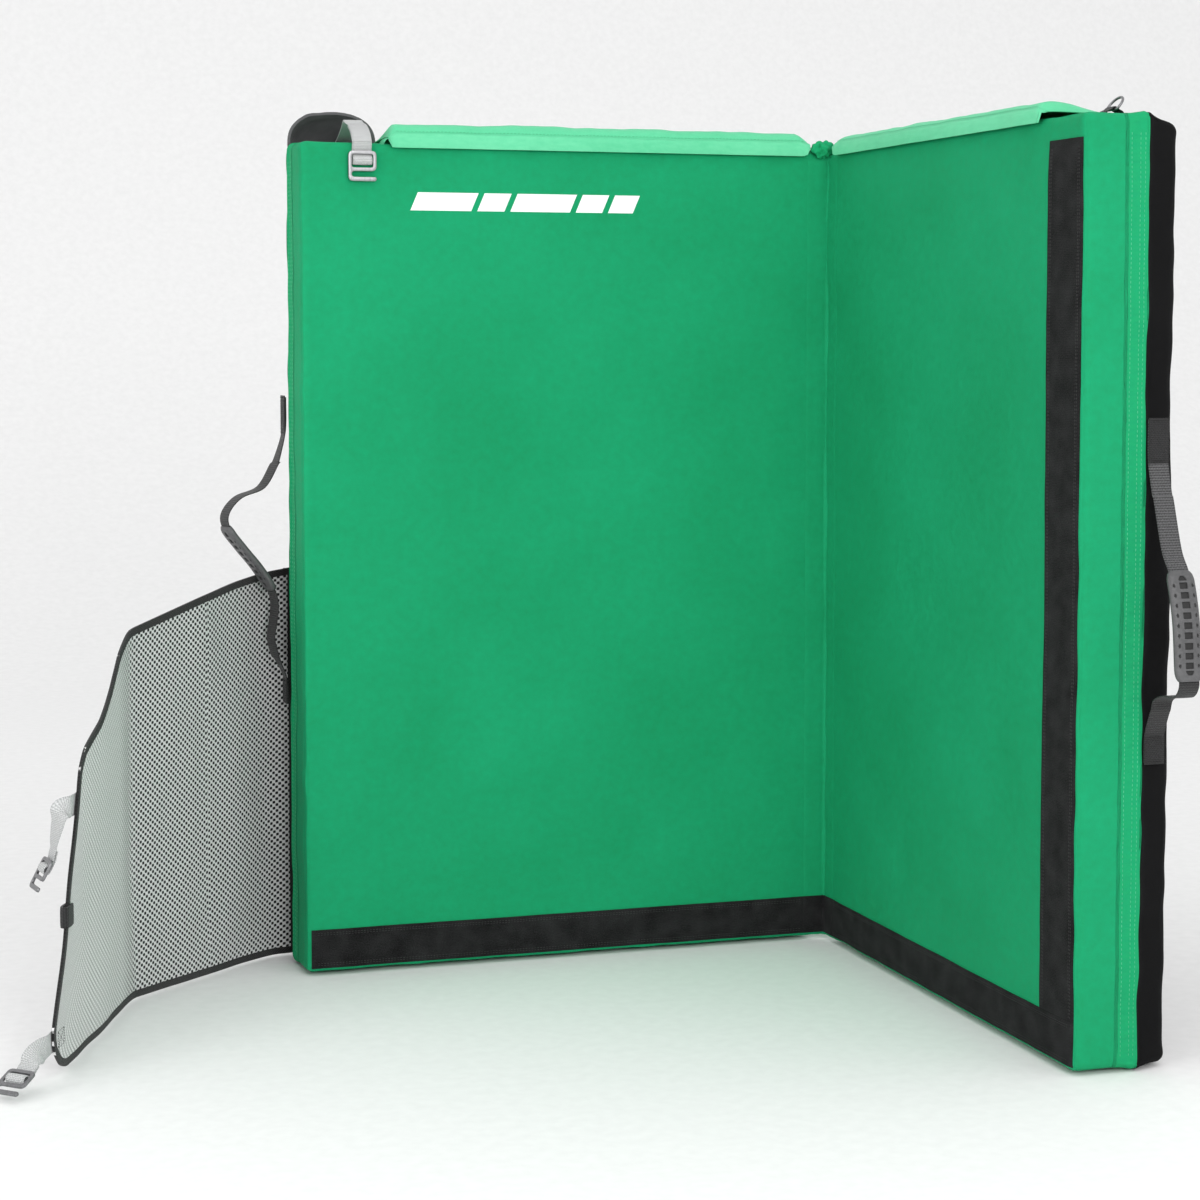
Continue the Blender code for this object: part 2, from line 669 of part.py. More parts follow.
def build_flap_strap(name, frame, height, heading, loop, buckle):
    """A tab sewn to the flap, the strap that leaves its free edge, and a hook buckle."""
    half = WEBBING_WIDTH / 2
    edge = edge_point(height)
    add_flap_patch(f"{name}_tab", frame, (edge - TAB_REACH, height - half),
                   (edge + STRAP_OFFSET - CREASE_GAP, height + half), GREY_WEBBING)
    start = tip_place(edge + STRAP_OFFSET, 0, sum(tab_face(WEBBING)) / 2)
    out = Vector((math.cos(heading), math.sin(heading), 0))
    across = Vector((-out.y, out.x, 0))
    at, lean = buckle
    hook = start + out * at[0] + Vector((0, 0, at[1]))
    down = out * math.cos(lean) + Vector((0, 0, math.sin(lean)))
    points = [start + out * u + Vector((0, 0, v)) for u, v in ((0.0018, height), *loop)]
    points.append(hook - down * BUCKLE_SWING)
    shape = bmesh.new()
    add_band(shape, points, (0, 0, 1), steps=3, across_end=across)
    add_object(f"{name}_strap", shape, frame, GREY_WEBBING, 0.7, pivot=start)
    add_buckle(f"{name}_buckle", frame, hook, across, down)


def build_flap(frame):
    build_flap_root(frame)
    build_flap_inner(frame)
    build_flap_outer(frame)
    build_flap_strap("flap_upper", frame, **UPPER_STRAP)
    build_flap_strap("flap_lower", frame, **LOWER_STRAP)
    edge = edge_point(sum(KEEPER_SPAN) / 2)
    add_flap_patch("flap_keeper", frame, (edge + KEEPER_REACH[0], KEEPER_SPAN[0]),
                   (edge + KEEPER_REACH[1], KEEPER_SPAN[1]), BLACK)


# ---------------------------------------------------------------- back of the pad

SHOULDER_BOW = ((0.0180, 0.870), (0.040, 0.840), (0.066, 0.780), (0.078, 0.700),
                (0.072, 0.620), (0.058, 0.550))
SHOULDER_TAIL = ((0.0480, 0.505), (0.0400, 0.450), (0.0280, 0.390), (0.0180, 0.352))
SHOULDER_WIDTH = 0.062
SHOULDER_THICK = 0.011
SHOULDER_STUB = ((0.0018, 0.060), (0.0018, 0.035), (0.0060, 0.018), (0.0130, 0.004))
SHOULDER_ENDS = (("top", 0.872, 1), ("bottom", 0.350, -1))
LOCK_CENTRE = (0.0525, 0.5255)
LOCK_HALF = (0.0165, 0.0125)
LOCK_BAR = 0.004
LOCK_SLOT = 0.0063
LOCK_UPPER_SLOT = 0.0022
LOCK_THICK = 0.0035
LOCK_LEAN = math.radians(-14)
LOOP_OUTLINE = ((0.640, 0.0014), (0.612, 0.0014), (0.602, 0.0085), (0.580, 0.0095),
                (0.570, 0.0085), (0.560, 0.0014), (0.532, 0.0014))
LOOP_HEIGHTS = (("closure_loop_upper", 0.245), ("closure_loop_lower", 0.060))


def build_harness(frame):
    """Two padded shoulder straps with ladder-lock buckles on the left panel's base."""
    back = FOLD_GAP + PANEL_DEPTH
    for mark, place in zip("ab", HARNESS_PLACES):
        pivot = Vector((-place, back + HANDLE_PIVOT, 0))
        shape = bmesh.new()
        points = [(-place, back + y, z) for y, z in SHOULDER_BOW]
        add_band(shape, points, (1, 0, 0), SHOULDER_WIDTH, SHOULDER_THICK, 3)
        add_object(f"shoulder_pad_{mark}", shape, frame, BLACK, 0.8, pivot=pivot)
        shape = bmesh.new()
        points = [(-place, back + y, z) for y, z in SHOULDER_TAIL]
        add_band(shape, points, (1, 0, 0))
        add_object(f"shoulder_webbing_{mark}", shape, frame, BLACK, 0.7, pivot=pivot)
        lock = (-place, back + LOCK_CENTRE[0], LOCK_CENTRE[1])
        add_ladder_lock(f"ladder_lock_{mark}", frame, lock, pivot)
        for end, height, step in SHOULDER_ENDS:
            points = [(-place, back + y, height + step * up) for y, up in SHOULDER_STUB]
            shape = bmesh.new()
            add_band(shape, points, (1, 0, 0))
            add_object(f"shoulder_anchor_{mark}_{end}", shape, frame, BLACK, 0.8)


def add_ladder_lock(name, frame, centre, pivot):
    """A three-bar plastic buckle between the padded strap and its webbing."""
    half_w, half_h = LOCK_HALF
    bar = LOCK_BAR
    border = [(-half_w, -half_h), (half_w, -half_h), (half_w, half_h), (-half_w, half_h)]
    holes = []
    for low in (-half_h + bar, LOCK_UPPER_SLOT):
        high = low + LOCK_SLOT
        holes.append([(-half_w + bar, low), (half_w - bar, low),
                      (half_w - bar, high), (-half_w + bar, high)])
    up = Vector((0, -math.sin(LOCK_LEAN), math.cos(LOCK_LEAN)))
    out = Vector((0, math.cos(LOCK_LEAN), math.sin(LOCK_LEAN)))

    def put(u, v, w):
        return Vector(centre) + Vector((u, 0, 0)) + up * v + out * w

    shape = bmesh.new()
    extrude_outline(shape, [border] + holes, put, LOCK_THICK)
    add_object(name, shape, frame, BLACK, 0.45, pivot=pivot)


def build_closure_loops(frame):
    """Webbing loops on the right panel's base, where the gear flap's hooks go."""
    back = FOLD_GAP + PANEL_DEPTH
    for name, z in LOOP_HEIGHTS:
        shape = bmesh.new()
        add_band(shape, [(x, back + y, z) for x, y in LOOP_OUTLINE], (0, 0, 1), steps=3)
        add_object(name, shape, frame, BLACK, 0.8)


def main():
    clear_scene()
    left = add_frame("left_panel_frame", PLAN_SHIFT, 0.0)
    right = add_frame("right_panel_frame", PLAN_SHIFT, math.radians(-90))
    build_panel("left", left, -1)
    build_panel("right", right, 1)
    build_strips(left, right)
    build_link_flap("left", left, -1, *LEFT_LINK)
    build_link_flap("right", right, 1, *RIGHT_LINK)
    build_corner_hood(left)
    build_top_strap(left)
    build_top_ring(right)
    build_handle("left", left, -1, LEFT_BOW, LEFT_GRIP, LEFT_HANDLE_TURN)
    build_handle("right", right, 1, RIGHT_BOW, RIGHT_GRIP, 0.0)
    build_flap(left)
    build_harness(left)
    build_closure_loops(right)


main()
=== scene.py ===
"""Looks of a folding crash pad that stands open on its long edge.

Points are given in a panel's own frame: a is the distance from the fold along the panel, y is the
distance from the fold axis into the foam, and z is up. place() turns them into the row frame.
"""

import json
import math

import bmesh
import bpy
import numpy as np
from mathutils import Matrix, Vector, noise
from mathutils.bvhtree import BVHTree


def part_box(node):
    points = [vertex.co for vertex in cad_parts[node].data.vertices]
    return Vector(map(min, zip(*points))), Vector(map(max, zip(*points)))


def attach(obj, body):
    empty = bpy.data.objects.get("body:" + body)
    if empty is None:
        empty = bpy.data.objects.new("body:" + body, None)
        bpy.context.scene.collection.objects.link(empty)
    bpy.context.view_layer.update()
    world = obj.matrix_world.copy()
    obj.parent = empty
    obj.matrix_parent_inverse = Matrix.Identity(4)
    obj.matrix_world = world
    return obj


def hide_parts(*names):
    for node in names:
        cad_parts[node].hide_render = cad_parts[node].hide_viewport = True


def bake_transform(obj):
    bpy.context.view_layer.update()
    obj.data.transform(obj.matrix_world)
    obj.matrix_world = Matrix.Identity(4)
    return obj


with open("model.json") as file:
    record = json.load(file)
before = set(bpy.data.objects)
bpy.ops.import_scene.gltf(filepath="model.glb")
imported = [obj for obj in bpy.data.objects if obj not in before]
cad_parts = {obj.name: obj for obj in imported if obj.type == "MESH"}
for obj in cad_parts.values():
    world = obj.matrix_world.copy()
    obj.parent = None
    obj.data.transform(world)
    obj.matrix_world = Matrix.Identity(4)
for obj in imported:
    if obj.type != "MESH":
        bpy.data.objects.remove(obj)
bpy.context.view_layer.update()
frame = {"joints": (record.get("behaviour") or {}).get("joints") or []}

# ---------------------------------------------------------------- sizes, in metres

# The fold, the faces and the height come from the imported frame.
JOINTS = {joint["name"]: joint for joint in frame["joints"]}
FOLD = Vector((*JOINTS["panel_fold"]["pos_m"][:2], 0.0))
LANDING_LOW, LANDING_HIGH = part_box("left_landing_cover")
REACH = FOLD.x - LANDING_LOW.x
SIDE_GAP = FOLD.x - LANDING_HIGH.x
FACE = LANDING_LOW.y - FOLD.y
SEAM = LANDING_HIGH.y - FOLD.y
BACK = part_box("left_base_cover")[1].y - FOLD.y
HEIGHT = LANDING_HIGH.z

# Cloth and webbing.
WEBBING = 0.0016
WEBBING_WIDTH = 0.025
SEWN_HALF = WEBBING_WIDTH / 2 - 0.0035
HEM = 0.024
COVER_SKIN = 0.0012
BASE_TAPER = 0.012

# Directions in the row frame: off each panel's outer side, and off its landing face.
OUTWARD = {"left": (-1, 0, 0), "right": (0, -1, 0)}
FACING = {"left": (0, -1, 0), "right": (-1, 0, 0)}


def place(side, points):
    """Points (a, y, z) of a panel's frame, as an array of points in the row frame."""
    p = np.array(points, float).reshape(-1, 3)
    if side == "left":
        return np.column_stack([FOLD.x - p[:, 0], FOLD.y + p[:, 1], p[:, 2]])
    return np.column_stack([FOLD.x + p[:, 1], FOLD.y - p[:, 0], p[:, 2]])


def local(side, point):
    """A point of the row frame, as (a, y, z) in a panel's frame."""
    x, y, z = point[0] - FOLD.x, point[1] - FOLD.y, point[2]
    return Vector((-x, y, z)) if side == "left" else Vector((-y, x, z))


def joint_place(name, side="left"):
    return local(side, JOINTS[name]["pos_m"])


# ---------------------------------------------------------------- materials

def add_node(tree, kind, inputs=None, **settings):
    """A shader node; inputs are values or sockets to link, by name or number."""
    made = tree.nodes.new(kind)
    for key, value in settings.items():
        setattr(made, key, value)
    for key, value in (inputs or {}).items():
        if isinstance(value, bpy.types.NodeSocket):
            tree.links.new(value, made.inputs[key])
        else:
            made.inputs[key].default_value = value
    return made


def calc(tree, operation, *values):
    made = add_node(tree, "ShaderNodeMath", dict(enumerate(values)), operation=operation)
    return made.outputs[0]


def wave(tree, value, pitch):
    """Cosine of a length, with a pitch in metres."""
    return calc(tree, "COSINE", calc(tree, "MULTIPLY", value, math.tau / pitch))


def speckle(tree, vector, scale, detail=3.0, rough=0.5):
    made = add_node(tree, "ShaderNodeTexNoise",
                    {"Vector": vector, "Scale": scale, "Detail": detail, "Roughness": rough})
    return made.outputs["Fac"]


def span(tree, value, low, high, to_low, to_high):
    made = add_node(tree, "ShaderNodeMapRange",
                    {"Value": value, "From Min": low, "From Max": high,
                     "To Min": to_low, "To Max": to_high})
    return made.outputs["Result"]


def mix(tree, factor, first, second):
    made = add_node(tree, "ShaderNodeMix", {0: factor}, data_type="RGBA")
    for slot, colour in ((6, first), (7, second)):
        if isinstance(colour, bpy.types.NodeSocket):
            tree.links.new(colour, made.inputs[slot])
        else:
            made.inputs[slot].default_value = (*colour, 1.0)
    return made.outputs[2]


def bump(tree, height, distance, normal=None):
    inputs = {"Height": height, "Distance": distance, "Strength": 1.0}
    if normal:
        inputs["Normal"] = normal
    return add_node(tree, "ShaderNodeBump", inputs).outputs["Normal"]


def start_material(name, roughness, metallic=0.0, specular=0.5, sheen=0.0):
    """A material with its tree, its shader and the cloth coordinates (s, t, mask)."""
    material = bpy.data.materials.new(name)
    material.use_nodes = True
    tree = material.node_tree
    shader = tree.nodes["Principled BSDF"]
    shader.inputs["Roughness"].default_value = roughness
    shader.inputs["Metallic"].default_value = metallic
    shader.inputs["Specular IOR Level"].default_value = specular
    shader.inputs["Sheen Weight"].default_value = sheen
    shader.inputs["Sheen Roughness"].default_value = 0.5
    st = add_node(tree, "ShaderNodeAttribute", attribute_name="st").outputs["Vector"]
    parts = add_node(tree, "ShaderNodeSeparateXYZ", {0: st}).outputs
    return material, tree, shader, st, parts


def finish_material(tree, shader, colour, normal, roughness=None):
    tree.links.new(colour, shader.inputs["Base Color"])
    tree.links.new(normal, shader.inputs["Normal"])
    if roughness:
        tree.links.new(roughness, shader.inputs["Roughness"])


def scaled(tree, vector, *factors):
    made = add_node(tree, "ShaderNodeVectorMath", {0: vector, 1: factors}, operation="MULTIPLY")
    return made.outputs[0]


def woven_cloth(name, dark, light, hem, pitch=0.0011, roughness=0.55, specular=0.35, sheen=0.05,
                creases=0.0012):
    """Coated woven nylon: plain weave, soft creases, mottling, and by mask a paler hem colour on the hem's
    raised puckers, a painted highlight.
    """
    material, tree, shader, st, (s, t, mask) = start_material(name, roughness, 0.0, specular, sheen)
    weave = calc(tree, "MULTIPLY", wave(tree, s, pitch), wave(tree, t, pitch))
    broad = speckle(tree, st, 5.0, 4.0)
    fine = speckle(tree, st, 90.0, 5.0, 0.65)
    pucker = speckle(tree, scaled(tree, st, 55.0, 170.0, 0.0), 1.0, 2.0)
    shade = calc(tree, "ADD", calc(tree, "MULTIPLY", broad, 0.6), calc(tree, "MULTIPLY", fine, 0.6))
    shade = calc(tree, "MULTIPLY_ADD", weave, 0.08, shade)
    colour = mix(tree, span(tree, shade, 0.30, 0.85, 0.0, 1.0), dark, light)
    # Painted highlight: by mask, the hem's raised puckers are mixed towards the paler hem colour.
    hem_highlight = calc(tree, "MULTIPLY", mask, span(tree, pucker, 0.35, 0.65, 0.35, 1.0))
    colour = mix(tree, hem_highlight, colour, hem)
    normal = bump(tree, speckle(tree, st, 16.0, 4.0, 0.45), creases)
    normal = bump(tree, calc(tree, "MULTIPLY", pucker, mask), 0.0011, normal)
    normal = bump(tree, fine, 0.00045, normal)
    normal = bump(tree, weave, 0.00009, normal)
    finish_material(tree, shader, colour, normal,
                    span(tree, fine, 0.3, 0.7, roughness - 0.05, roughness + 0.07))
    return material


def pile_cloth(name, dark, light):
    """Hook-and-loop tape or felt: a dense fuzz with lint."""
    material, tree, shader, st, (_, t, _) = start_material(name, 0.95, 0.0, 0.08, 0.02)
    fuzz = speckle(tree, st, 650.0, 4.0, 0.8)
    patch = speckle(tree, st, 35.0, 3.0)
    rows = wave(tree, t, 0.0019)
    level = calc(tree, "MULTIPLY_ADD", patch, 0.4, calc(tree, "MULTIPLY", fuzz, 0.9))
    level = calc(tree, "MULTIPLY_ADD", rows, 0.03, level)
    colour = mix(tree, span(tree, level, 0.50, 0.85, 0.0, 1.0), dark, light)
    normal = bump(tree, fuzz, 0.0008)
    finish_material(tree, shader, colour, normal)
    return material


def ribbed_webbing(name, dark, light, pitch=0.0021, cross=0.0034, roughness=0.6):
    """Woven strap: ribs across it, a finer twill, firmer edges, and by mask a near-black painted shade."""
    material, tree, shader, st, (s, t, mask) = start_material(name, roughness, 0.0, 0.35, 0.1)
    twill = wave(tree, calc(tree, "ADD", s, calc(tree, "MULTIPLY", t, 0.8)), cross)
    ribs = wave(tree, calc(tree, "MULTIPLY_ADD", twill, 0.00018, t), pitch)
    edge = calc(tree, "GREATER_THAN", calc(tree, "ABSOLUTE", s), WEBBING_WIDTH / 2 - 0.0022)
    fuzz = speckle(tree, st, 420.0, 4.0, 0.7)
    level = calc(tree, "MULTIPLY_ADD", ribs, 0.24, fuzz)
    level = calc(tree, "MULTIPLY_ADD", twill, 0.07, level)
    level = calc(tree, "MULTIPLY_ADD", edge, -0.10, level)
    colour = mix(tree, span(tree, level, 0.20, 0.85, 0.0, 1.0), dark, light)
    # By mask, the colour goes towards near black: painted shade on the handles' webbing.
    colour = mix(tree, mask, colour, (0.008, 0.008, 0.008))
    normal = bump(tree, ribs, 0.00030)
    normal = bump(tree, twill, 0.00010, normal)
    normal = bump(tree, fuzz, 0.00012, normal)
    finish_material(tree, shader, colour, normal)
    return material


def knitted_mesh(name, hole, yarn_dark, yarn_light):
    """Spacer mesh: staggered oval holes with a dark backing, between knitted cords; by mask, paler yarn and
    fewer holes as painted light.
    """
    material, tree, shader, st, (s, t, mask) = start_material(name, 0.7, 0.0, 0.3, 0.1)
    drift = speckle(tree, st, 9.0, 2.0)
    along = calc(tree, "MULTIPLY_ADD", drift, 0.004, s)
    high = calc(tree, "MULTIPLY_ADD", drift, 0.003, calc(tree, "MULTIPLY_ADD", s, 0.12, t))
    field = calc(tree, "MULTIPLY", wave(tree, along, 0.0086), wave(tree, high, 0.0078))
    open_hole = span(tree, field, 0.04, 0.24, 0.0, 1.0)
    # Painted light: by mask, fewer dark holes show.
    open_hole = calc(tree, "MULTIPLY", open_hole, calc(tree, "MULTIPLY_ADD", mask, -0.9, 1.0))
    fibre = speckle(tree, st, 900.0, 3.0, 0.7)
    cord = calc(tree, "MULTIPLY_ADD", field, -0.18, fibre)
    yarn = mix(tree, span(tree, cord, 0.25, 0.75, 0.0, 1.0), yarn_dark, yarn_light)
    # Painted light: by mask, the yarn goes towards a pale grey.
    yarn = mix(tree, mask, yarn, (0.86, 0.86, 0.86))
    colour = mix(tree, open_hole, yarn, hole)
    normal = bump(tree, calc(tree, "MULTIPLY", open_hole, -1.0), 0.0011)
    normal = bump(tree, fibre, 0.00018, normal)
    finish_material(tree, shader, colour, normal)
    return material


def grained_solid(name, dark, light, roughness, metallic=0.0, scale=300.0, depth=0.00012,
                  stretch=(1.0, 1.0, 1.0), hollow=None):
    """Moulded plastic, rubber, metal or foam: a fine grain, and another colour in hollows."""
    material, tree, shader, _, (_, _, mask) = start_material(name, roughness, metallic)
    where = add_node(tree, "ShaderNodeTexCoord").outputs["Object"]
    grain = speckle(tree, scaled(tree, where, *stretch), scale, 4.0, 0.6)
    broad = speckle(tree, where, 14.0, 3.0)
    level = calc(tree, "ADD", calc(tree, "MULTIPLY", grain, 0.5), calc(tree, "MULTIPLY", broad, 0.5))
    colour = mix(tree, span(tree, level, 0.35, 0.65, 0.0, 1.0), dark, light)
    if hollow:
        colour = mix(tree, mask, colour, hollow)
    normal = bump(tree, grain, depth)
    finish_material(tree, shader, colour, normal,
                    span(tree, broad, 0.3, 0.7, roughness - 0.06, roughness + 0.08))
    return material


# The third colour is the hem's, used as a painted highlight on its puckers.
GREEN_CLOTH = woven_cloth("green_nylon", (0.0018, 0.250, 0.090), (0.0060, 0.345, 0.150),
                          (0.006, 0.33, 0.125), roughness=0.78, specular=0.22, sheen=0.0,
                          creases=0.0020)
# A paler copy of the green nylon for the link flaps and the frayed end: painted light on the cloth along the
# top edge, with a still paler hem colour as painted highlight.
PAINTED_LIT_GREEN_CLOTH = woven_cloth("bright_green_nylon", (0.075, 0.52, 0.26), (0.13, 0.62, 0.34),
                           (0.30, 0.85, 0.55), roughness=0.5, specular=0.2, creases=0.0016)
BLACK_CLOTH = woven_cloth("black_nylon", (0.0030, 0.0030, 0.0032), (0.0068, 0.0068, 0.0072),
                          (0.035, 0.035, 0.036), pitch=0.0016, roughness=0.7, specular=0.06,
                          sheen=0.01, creases=0.0020)
# The hood is the base's black nylon made grey: painted light on the top of the arch.
HOOD_CLOTH = woven_cloth("grey_black_nylon", (0.050, 0.050, 0.052), (0.110, 0.110, 0.114),
                         (0.13, 0.13, 0.135), pitch=0.0016, roughness=0.6)
FELT = pile_cloth("hook_pile", (0.0040, 0.0040, 0.0042), (0.034, 0.034, 0.035))
LIGHT_WEBBING = ribbed_webbing("light_webbing", (0.36, 0.37, 0.37), (0.66, 0.67, 0.67), 0.0019)
DARK_WEBBING = ribbed_webbing("grey_webbing", (0.020, 0.020, 0.021), (0.115, 0.115, 0.118), 0.0030)
BLACK_WEBBING = ribbed_webbing("black_webbing", (0.0050, 0.0050, 0.0052), (0.022, 0.022, 0.023))
BINDING = ribbed_webbing("binding_tape", (0.0035, 0.0035, 0.0036), (0.010, 0.010, 0.010), 0.0013)
MESH_CLOTH = knitted_mesh("knitted_mesh", (0.014, 0.014, 0.014), (0.46, 0.46, 0.46),
                          (0.72, 0.72, 0.72))
RUBBER = grained_solid("grip_rubber", (0.060, 0.060, 0.062), (0.100, 0.100, 0.103), 0.55,
                       hollow=(0.006, 0.006, 0.006))
METAL = grained_solid("satin_metal", (0.17, 0.17, 0.175), (0.30, 0.30, 0.31), 0.38, 1.0, 500.0,
                      0.00006, (1.0, 1.0, 0.06))
PLASTIC = grained_solid("black_plastic", (0.010, 0.010, 0.011), (0.020, 0.020, 0.021), 0.42)
GREY_FOAM = grained_solid("closed_foam", (0.16, 0.17, 0.18), (0.24, 0.25, 0.26), 0.9, 0.0, 420.0,
                          0.0006)
CREAM_FOAM = grained_solid("open_foam", (0.60, 0.54, 0.38), (0.80, 0.74, 0.58), 0.95, 0.0, 260.0,
                           0.0014)
PRINT = grained_solid("white_print", (0.80, 0.82, 0.81), (0.90, 0.92, 0.91), 0.5, 0.0, 700.0,
                      0.00006)
BLACK_THREAD = grained_solid("black_thread", (0.012, 0.012, 0.012), (0.035, 0.035, 0.035), 0.7)
GREEN_THREAD = grained_solid("green_thread", (0.030, 0.34, 0.16), (0.10, 0.50, 0.28), 0.6)
GREY_THREAD = grained_solid("grey_thread", (0.30, 0.30, 0.31), (0.45, 0.45, 0.46), 0.6)


# ---------------------------------------------------------------- meshes

def make_piece(name, verts, faces, material, st=None, closed=True):
    """A smooth-shaded mesh object; st holds cloth coordinates for each vertex or each corner."""
    mesh = bpy.data.meshes.new(name)
    mesh.from_pydata([tuple(v) for v in verts], [], [tuple(f) for f in faces])
    if st is None:
        st = np.asarray(verts, float)
    st = np.asarray(st, np.float32)
    store = mesh.attributes.new("st", "FLOAT_VECTOR", "CORNER")
    if len(st) != len(mesh.loops):
        corner = np.zeros(len(mesh.loops), np.int32)
        mesh.loops.foreach_get("vertex_index", corner)
        st = st[corner]
    store.data.foreach_set("vector", st.ravel())
    if closed:
        work = bmesh.new()
        work.from_mesh(mesh)
        bmesh.ops.recalc_face_normals(work, faces=work.faces)
        if work.calc_volume(signed=True) < 0:
            bmesh.ops.reverse_faces(work, faces=work.faces)
        work.to_mesh(mesh)
        work.free()
    mesh.shade_smooth()
    mesh.set_sharp_from_angle(angle=math.radians(50))
    mesh.materials.append(material)
    piece = bpy.data.objects.new(name, mesh)
    bpy.context.scene.collection.objects.link(piece)
    return piece


def curve_through(points, steps=6):
    """Catmull-Rom curve through points of any dimension."""
    p = np.asarray([tuple(q) for q in points], float)
    ends = np.vstack([2 * p[0] - p[1], p, 2 * p[-1] - p[-2]])
    path = []
    for a, b, c, d in zip(ends, ends[1:], ends[2:], ends[3:]):
        for k in range(steps):
            t = k / steps
            path.append(0.5 * (2 * b + (c - a) * t + (2 * a - 5 * b + 4 * c - d) * t * t
                               + (3 * b - a - 3 * c + d) * t ** 3))
    return np.array(path + [p[-1]])


def run_of(path):
    """Distance along a path at each of its points."""
    return np.concatenate([[0.0], np.cumsum(np.linalg.norm(np.diff(path, axis=0), axis=1))])


def unit(vectors):
    return vectors / np.maximum(np.linalg.norm(vectors, axis=-1, keepdims=True), 1e-9)


def resampled(path, count, share=1.0):
    """Evenly spaced points up to a share of a path's length, and their distances along it."""
    run = run_of(path)
    stops = np.linspace(0, run[-1] * share, count)
    return np.stack([np.interp(stops, run, column) for column in path.T], axis=1), stops


def tube_faces(rings, around, joined=False):
    """Quads between rings of points, with flat ends unless the last ring joins the first."""
    count = rings if joined else rings - 1
    faces = [(i * around + k, i * around + (k + 1) % around,
              (i + 1) % rings * around + (k + 1) % around, (i + 1) % rings * around + k)
             for i in range(count) for k in range(around)]
    if not joined:
        last = (rings - 1) * around
        faces += [tuple(range(around))[::-1], tuple(range(last, last + around))]
    return faces


BAND_SECTION = ((-1, 0), (-0.97, 0.8), (-0.6, 1), (0, 1), (0.6, 1), (0.97, 0.8),
                (1, 0), (0.97, -0.8), (0.6, -1), (0, -1), (-0.6, -1), (-0.97, -0.8))


def band(path, across, width, thickness, section=BAND_SECTION):
    """Vertices, faces and cloth coordinates of a strap along a path.

    across is one direction, or one for each point of the path.
    """
    path = np.asarray(path, float)
    along = unit(np.gradient(path, axis=0))
    across = np.broadcast_to(np.asarray(across, float), path.shape)
    across = unit(across - along * (across * along).sum(1, keepdims=True))
    normal = np.cross(across, along)
    width = np.broadcast_to(np.asarray(width, float), len(path))
    thickness = np.broadcast_to(np.asarray(thickness, float), len(path))
    run = run_of(path)
    verts, st = [], []
    for i, point in enumerate(path):
        for u, w in section:
            verts.append(point + across[i] * u * width[i] / 2 + normal[i] * w * thickness[i] / 2)
            st.append((u * width[i] / 2, run[i], 0.0))
    return np.array(verts), tube_faces(len(path), len(section)), np.array(st)


def cloth_sheet(grid, thickness, mask=0.0):
    """Vertices, faces and cloth coordinates of a closed sheet on a grid (rows, columns, 3)."""
    rows, columns = grid.shape[:2]
    du = np.gradient(grid, axis=0)
    dv = np.gradient(grid, axis=1)
    normal = unit(np.cross(du, dv))
    thickness = np.broadcast_to(np.asarray(thickness, float), (rows, columns))[..., None]
    mask = np.broadcast_to(np.asarray(mask, float), (rows, columns))
    run_u = np.concatenate([np.zeros((1, columns)),
                            np.cumsum(np.linalg.norm(np.diff(grid, axis=0), axis=2), axis=0)])
    run_v = np.concatenate([np.zeros((rows, 1)),
                            np.cumsum(np.linalg.norm(np.diff(grid, axis=1), axis=2), axis=1)], axis=1)
    st = np.stack([run_u, run_v, mask], axis=2).reshape(-1, 3)
    verts = np.concatenate([(grid + normal * thickness / 2).reshape(-1, 3),
                            (grid - normal * thickness / 2).reshape(-1, 3)])
    half = rows * columns
    faces = []
    for i in range(rows - 1):
        for j in range(columns - 1):
            k = i * columns + j
            quad = (k, k + 1, k + columns + 1, k + columns)
            faces.append(quad)
            faces.append(tuple(half + q for q in reversed(quad)))
    rim = [j for j in range(columns)]
    rim += [i * columns + columns - 1 for i in range(1, rows)]
    rim += [(rows - 1) * columns + j for j in range(columns - 2, -1, -1)]
    rim += [i * columns for i in range(rows - 2, 0, -1)]
    for a, b in zip(rim, rim[1:] + rim[:1]):
        faces.append((b, a, half + a, half + b))
    return verts, faces, np.concatenate([st, st])


def blend_between(piece):
    """Bake a piece's placement into its mesh."""
    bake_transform(piece)


def add_band(name, side, path, across, material, width=WEBBING_WIDTH, thickness=WEBBING):
    """A strap whose path and width directions are in a panel's frame."""
    verts, faces, st = band(path, across, width, thickness)
    return make_piece(name, place(side, verts), faces, material, st)


def add_sheet(name, side, grid, thickness, material, mask=0.0):
    """A closed sheet of cloth on a grid of points in a panel's frame."""
    verts, faces, st = cloth_sheet(grid, thickness, mask)
    return make_piece(name, place(side, verts), faces, material, st)


def plate(outlines, thickness, bevel):
    """Vertices and faces of a flat plate cut by holes, with its edges rounded."""
    shape = bmesh.new()
    edges = []
    for outline in outlines:
        points = [shape.verts.new((u, v, -thickness / 2)) for u, v in outline]
        edges += [shape.edges.new(pair) for pair in zip(points, points[1:] + points[:1])]
    bmesh.ops.triangle_fill(shape, use_beauty=True, use_dissolve=False, edges=edges)
    grown = bmesh.ops.extrude_face_region(shape, geom=list(shape.faces), use_keep_orig=True)
    lifted = [item for item in grown["geom"] if isinstance(item, bmesh.types.BMVert)]
    bmesh.ops.translate(shape, verts=lifted, vec=(0, 0, thickness))
    bmesh.ops.recalc_face_normals(shape, faces=shape.faces)
    rims = [e for e in shape.edges if len(e.link_faces) == 2 and e.calc_face_angle() > 1.2]
    rims = [e for e in rims if abs(e.verts[0].co.z - e.verts[1].co.z) < thickness / 2]
    bmesh.ops.bevel(shape, geom=rims, offset=bevel, segments=3, profile=0.5, affect="EDGES",
                    clamp_overlap=True)
    shape.verts.index_update()
    verts = np.array([tuple(v.co) for v in shape.verts])
    faces = [[v.index for v in f.verts] for f in shape.faces]
    shape.free()
    return verts, faces


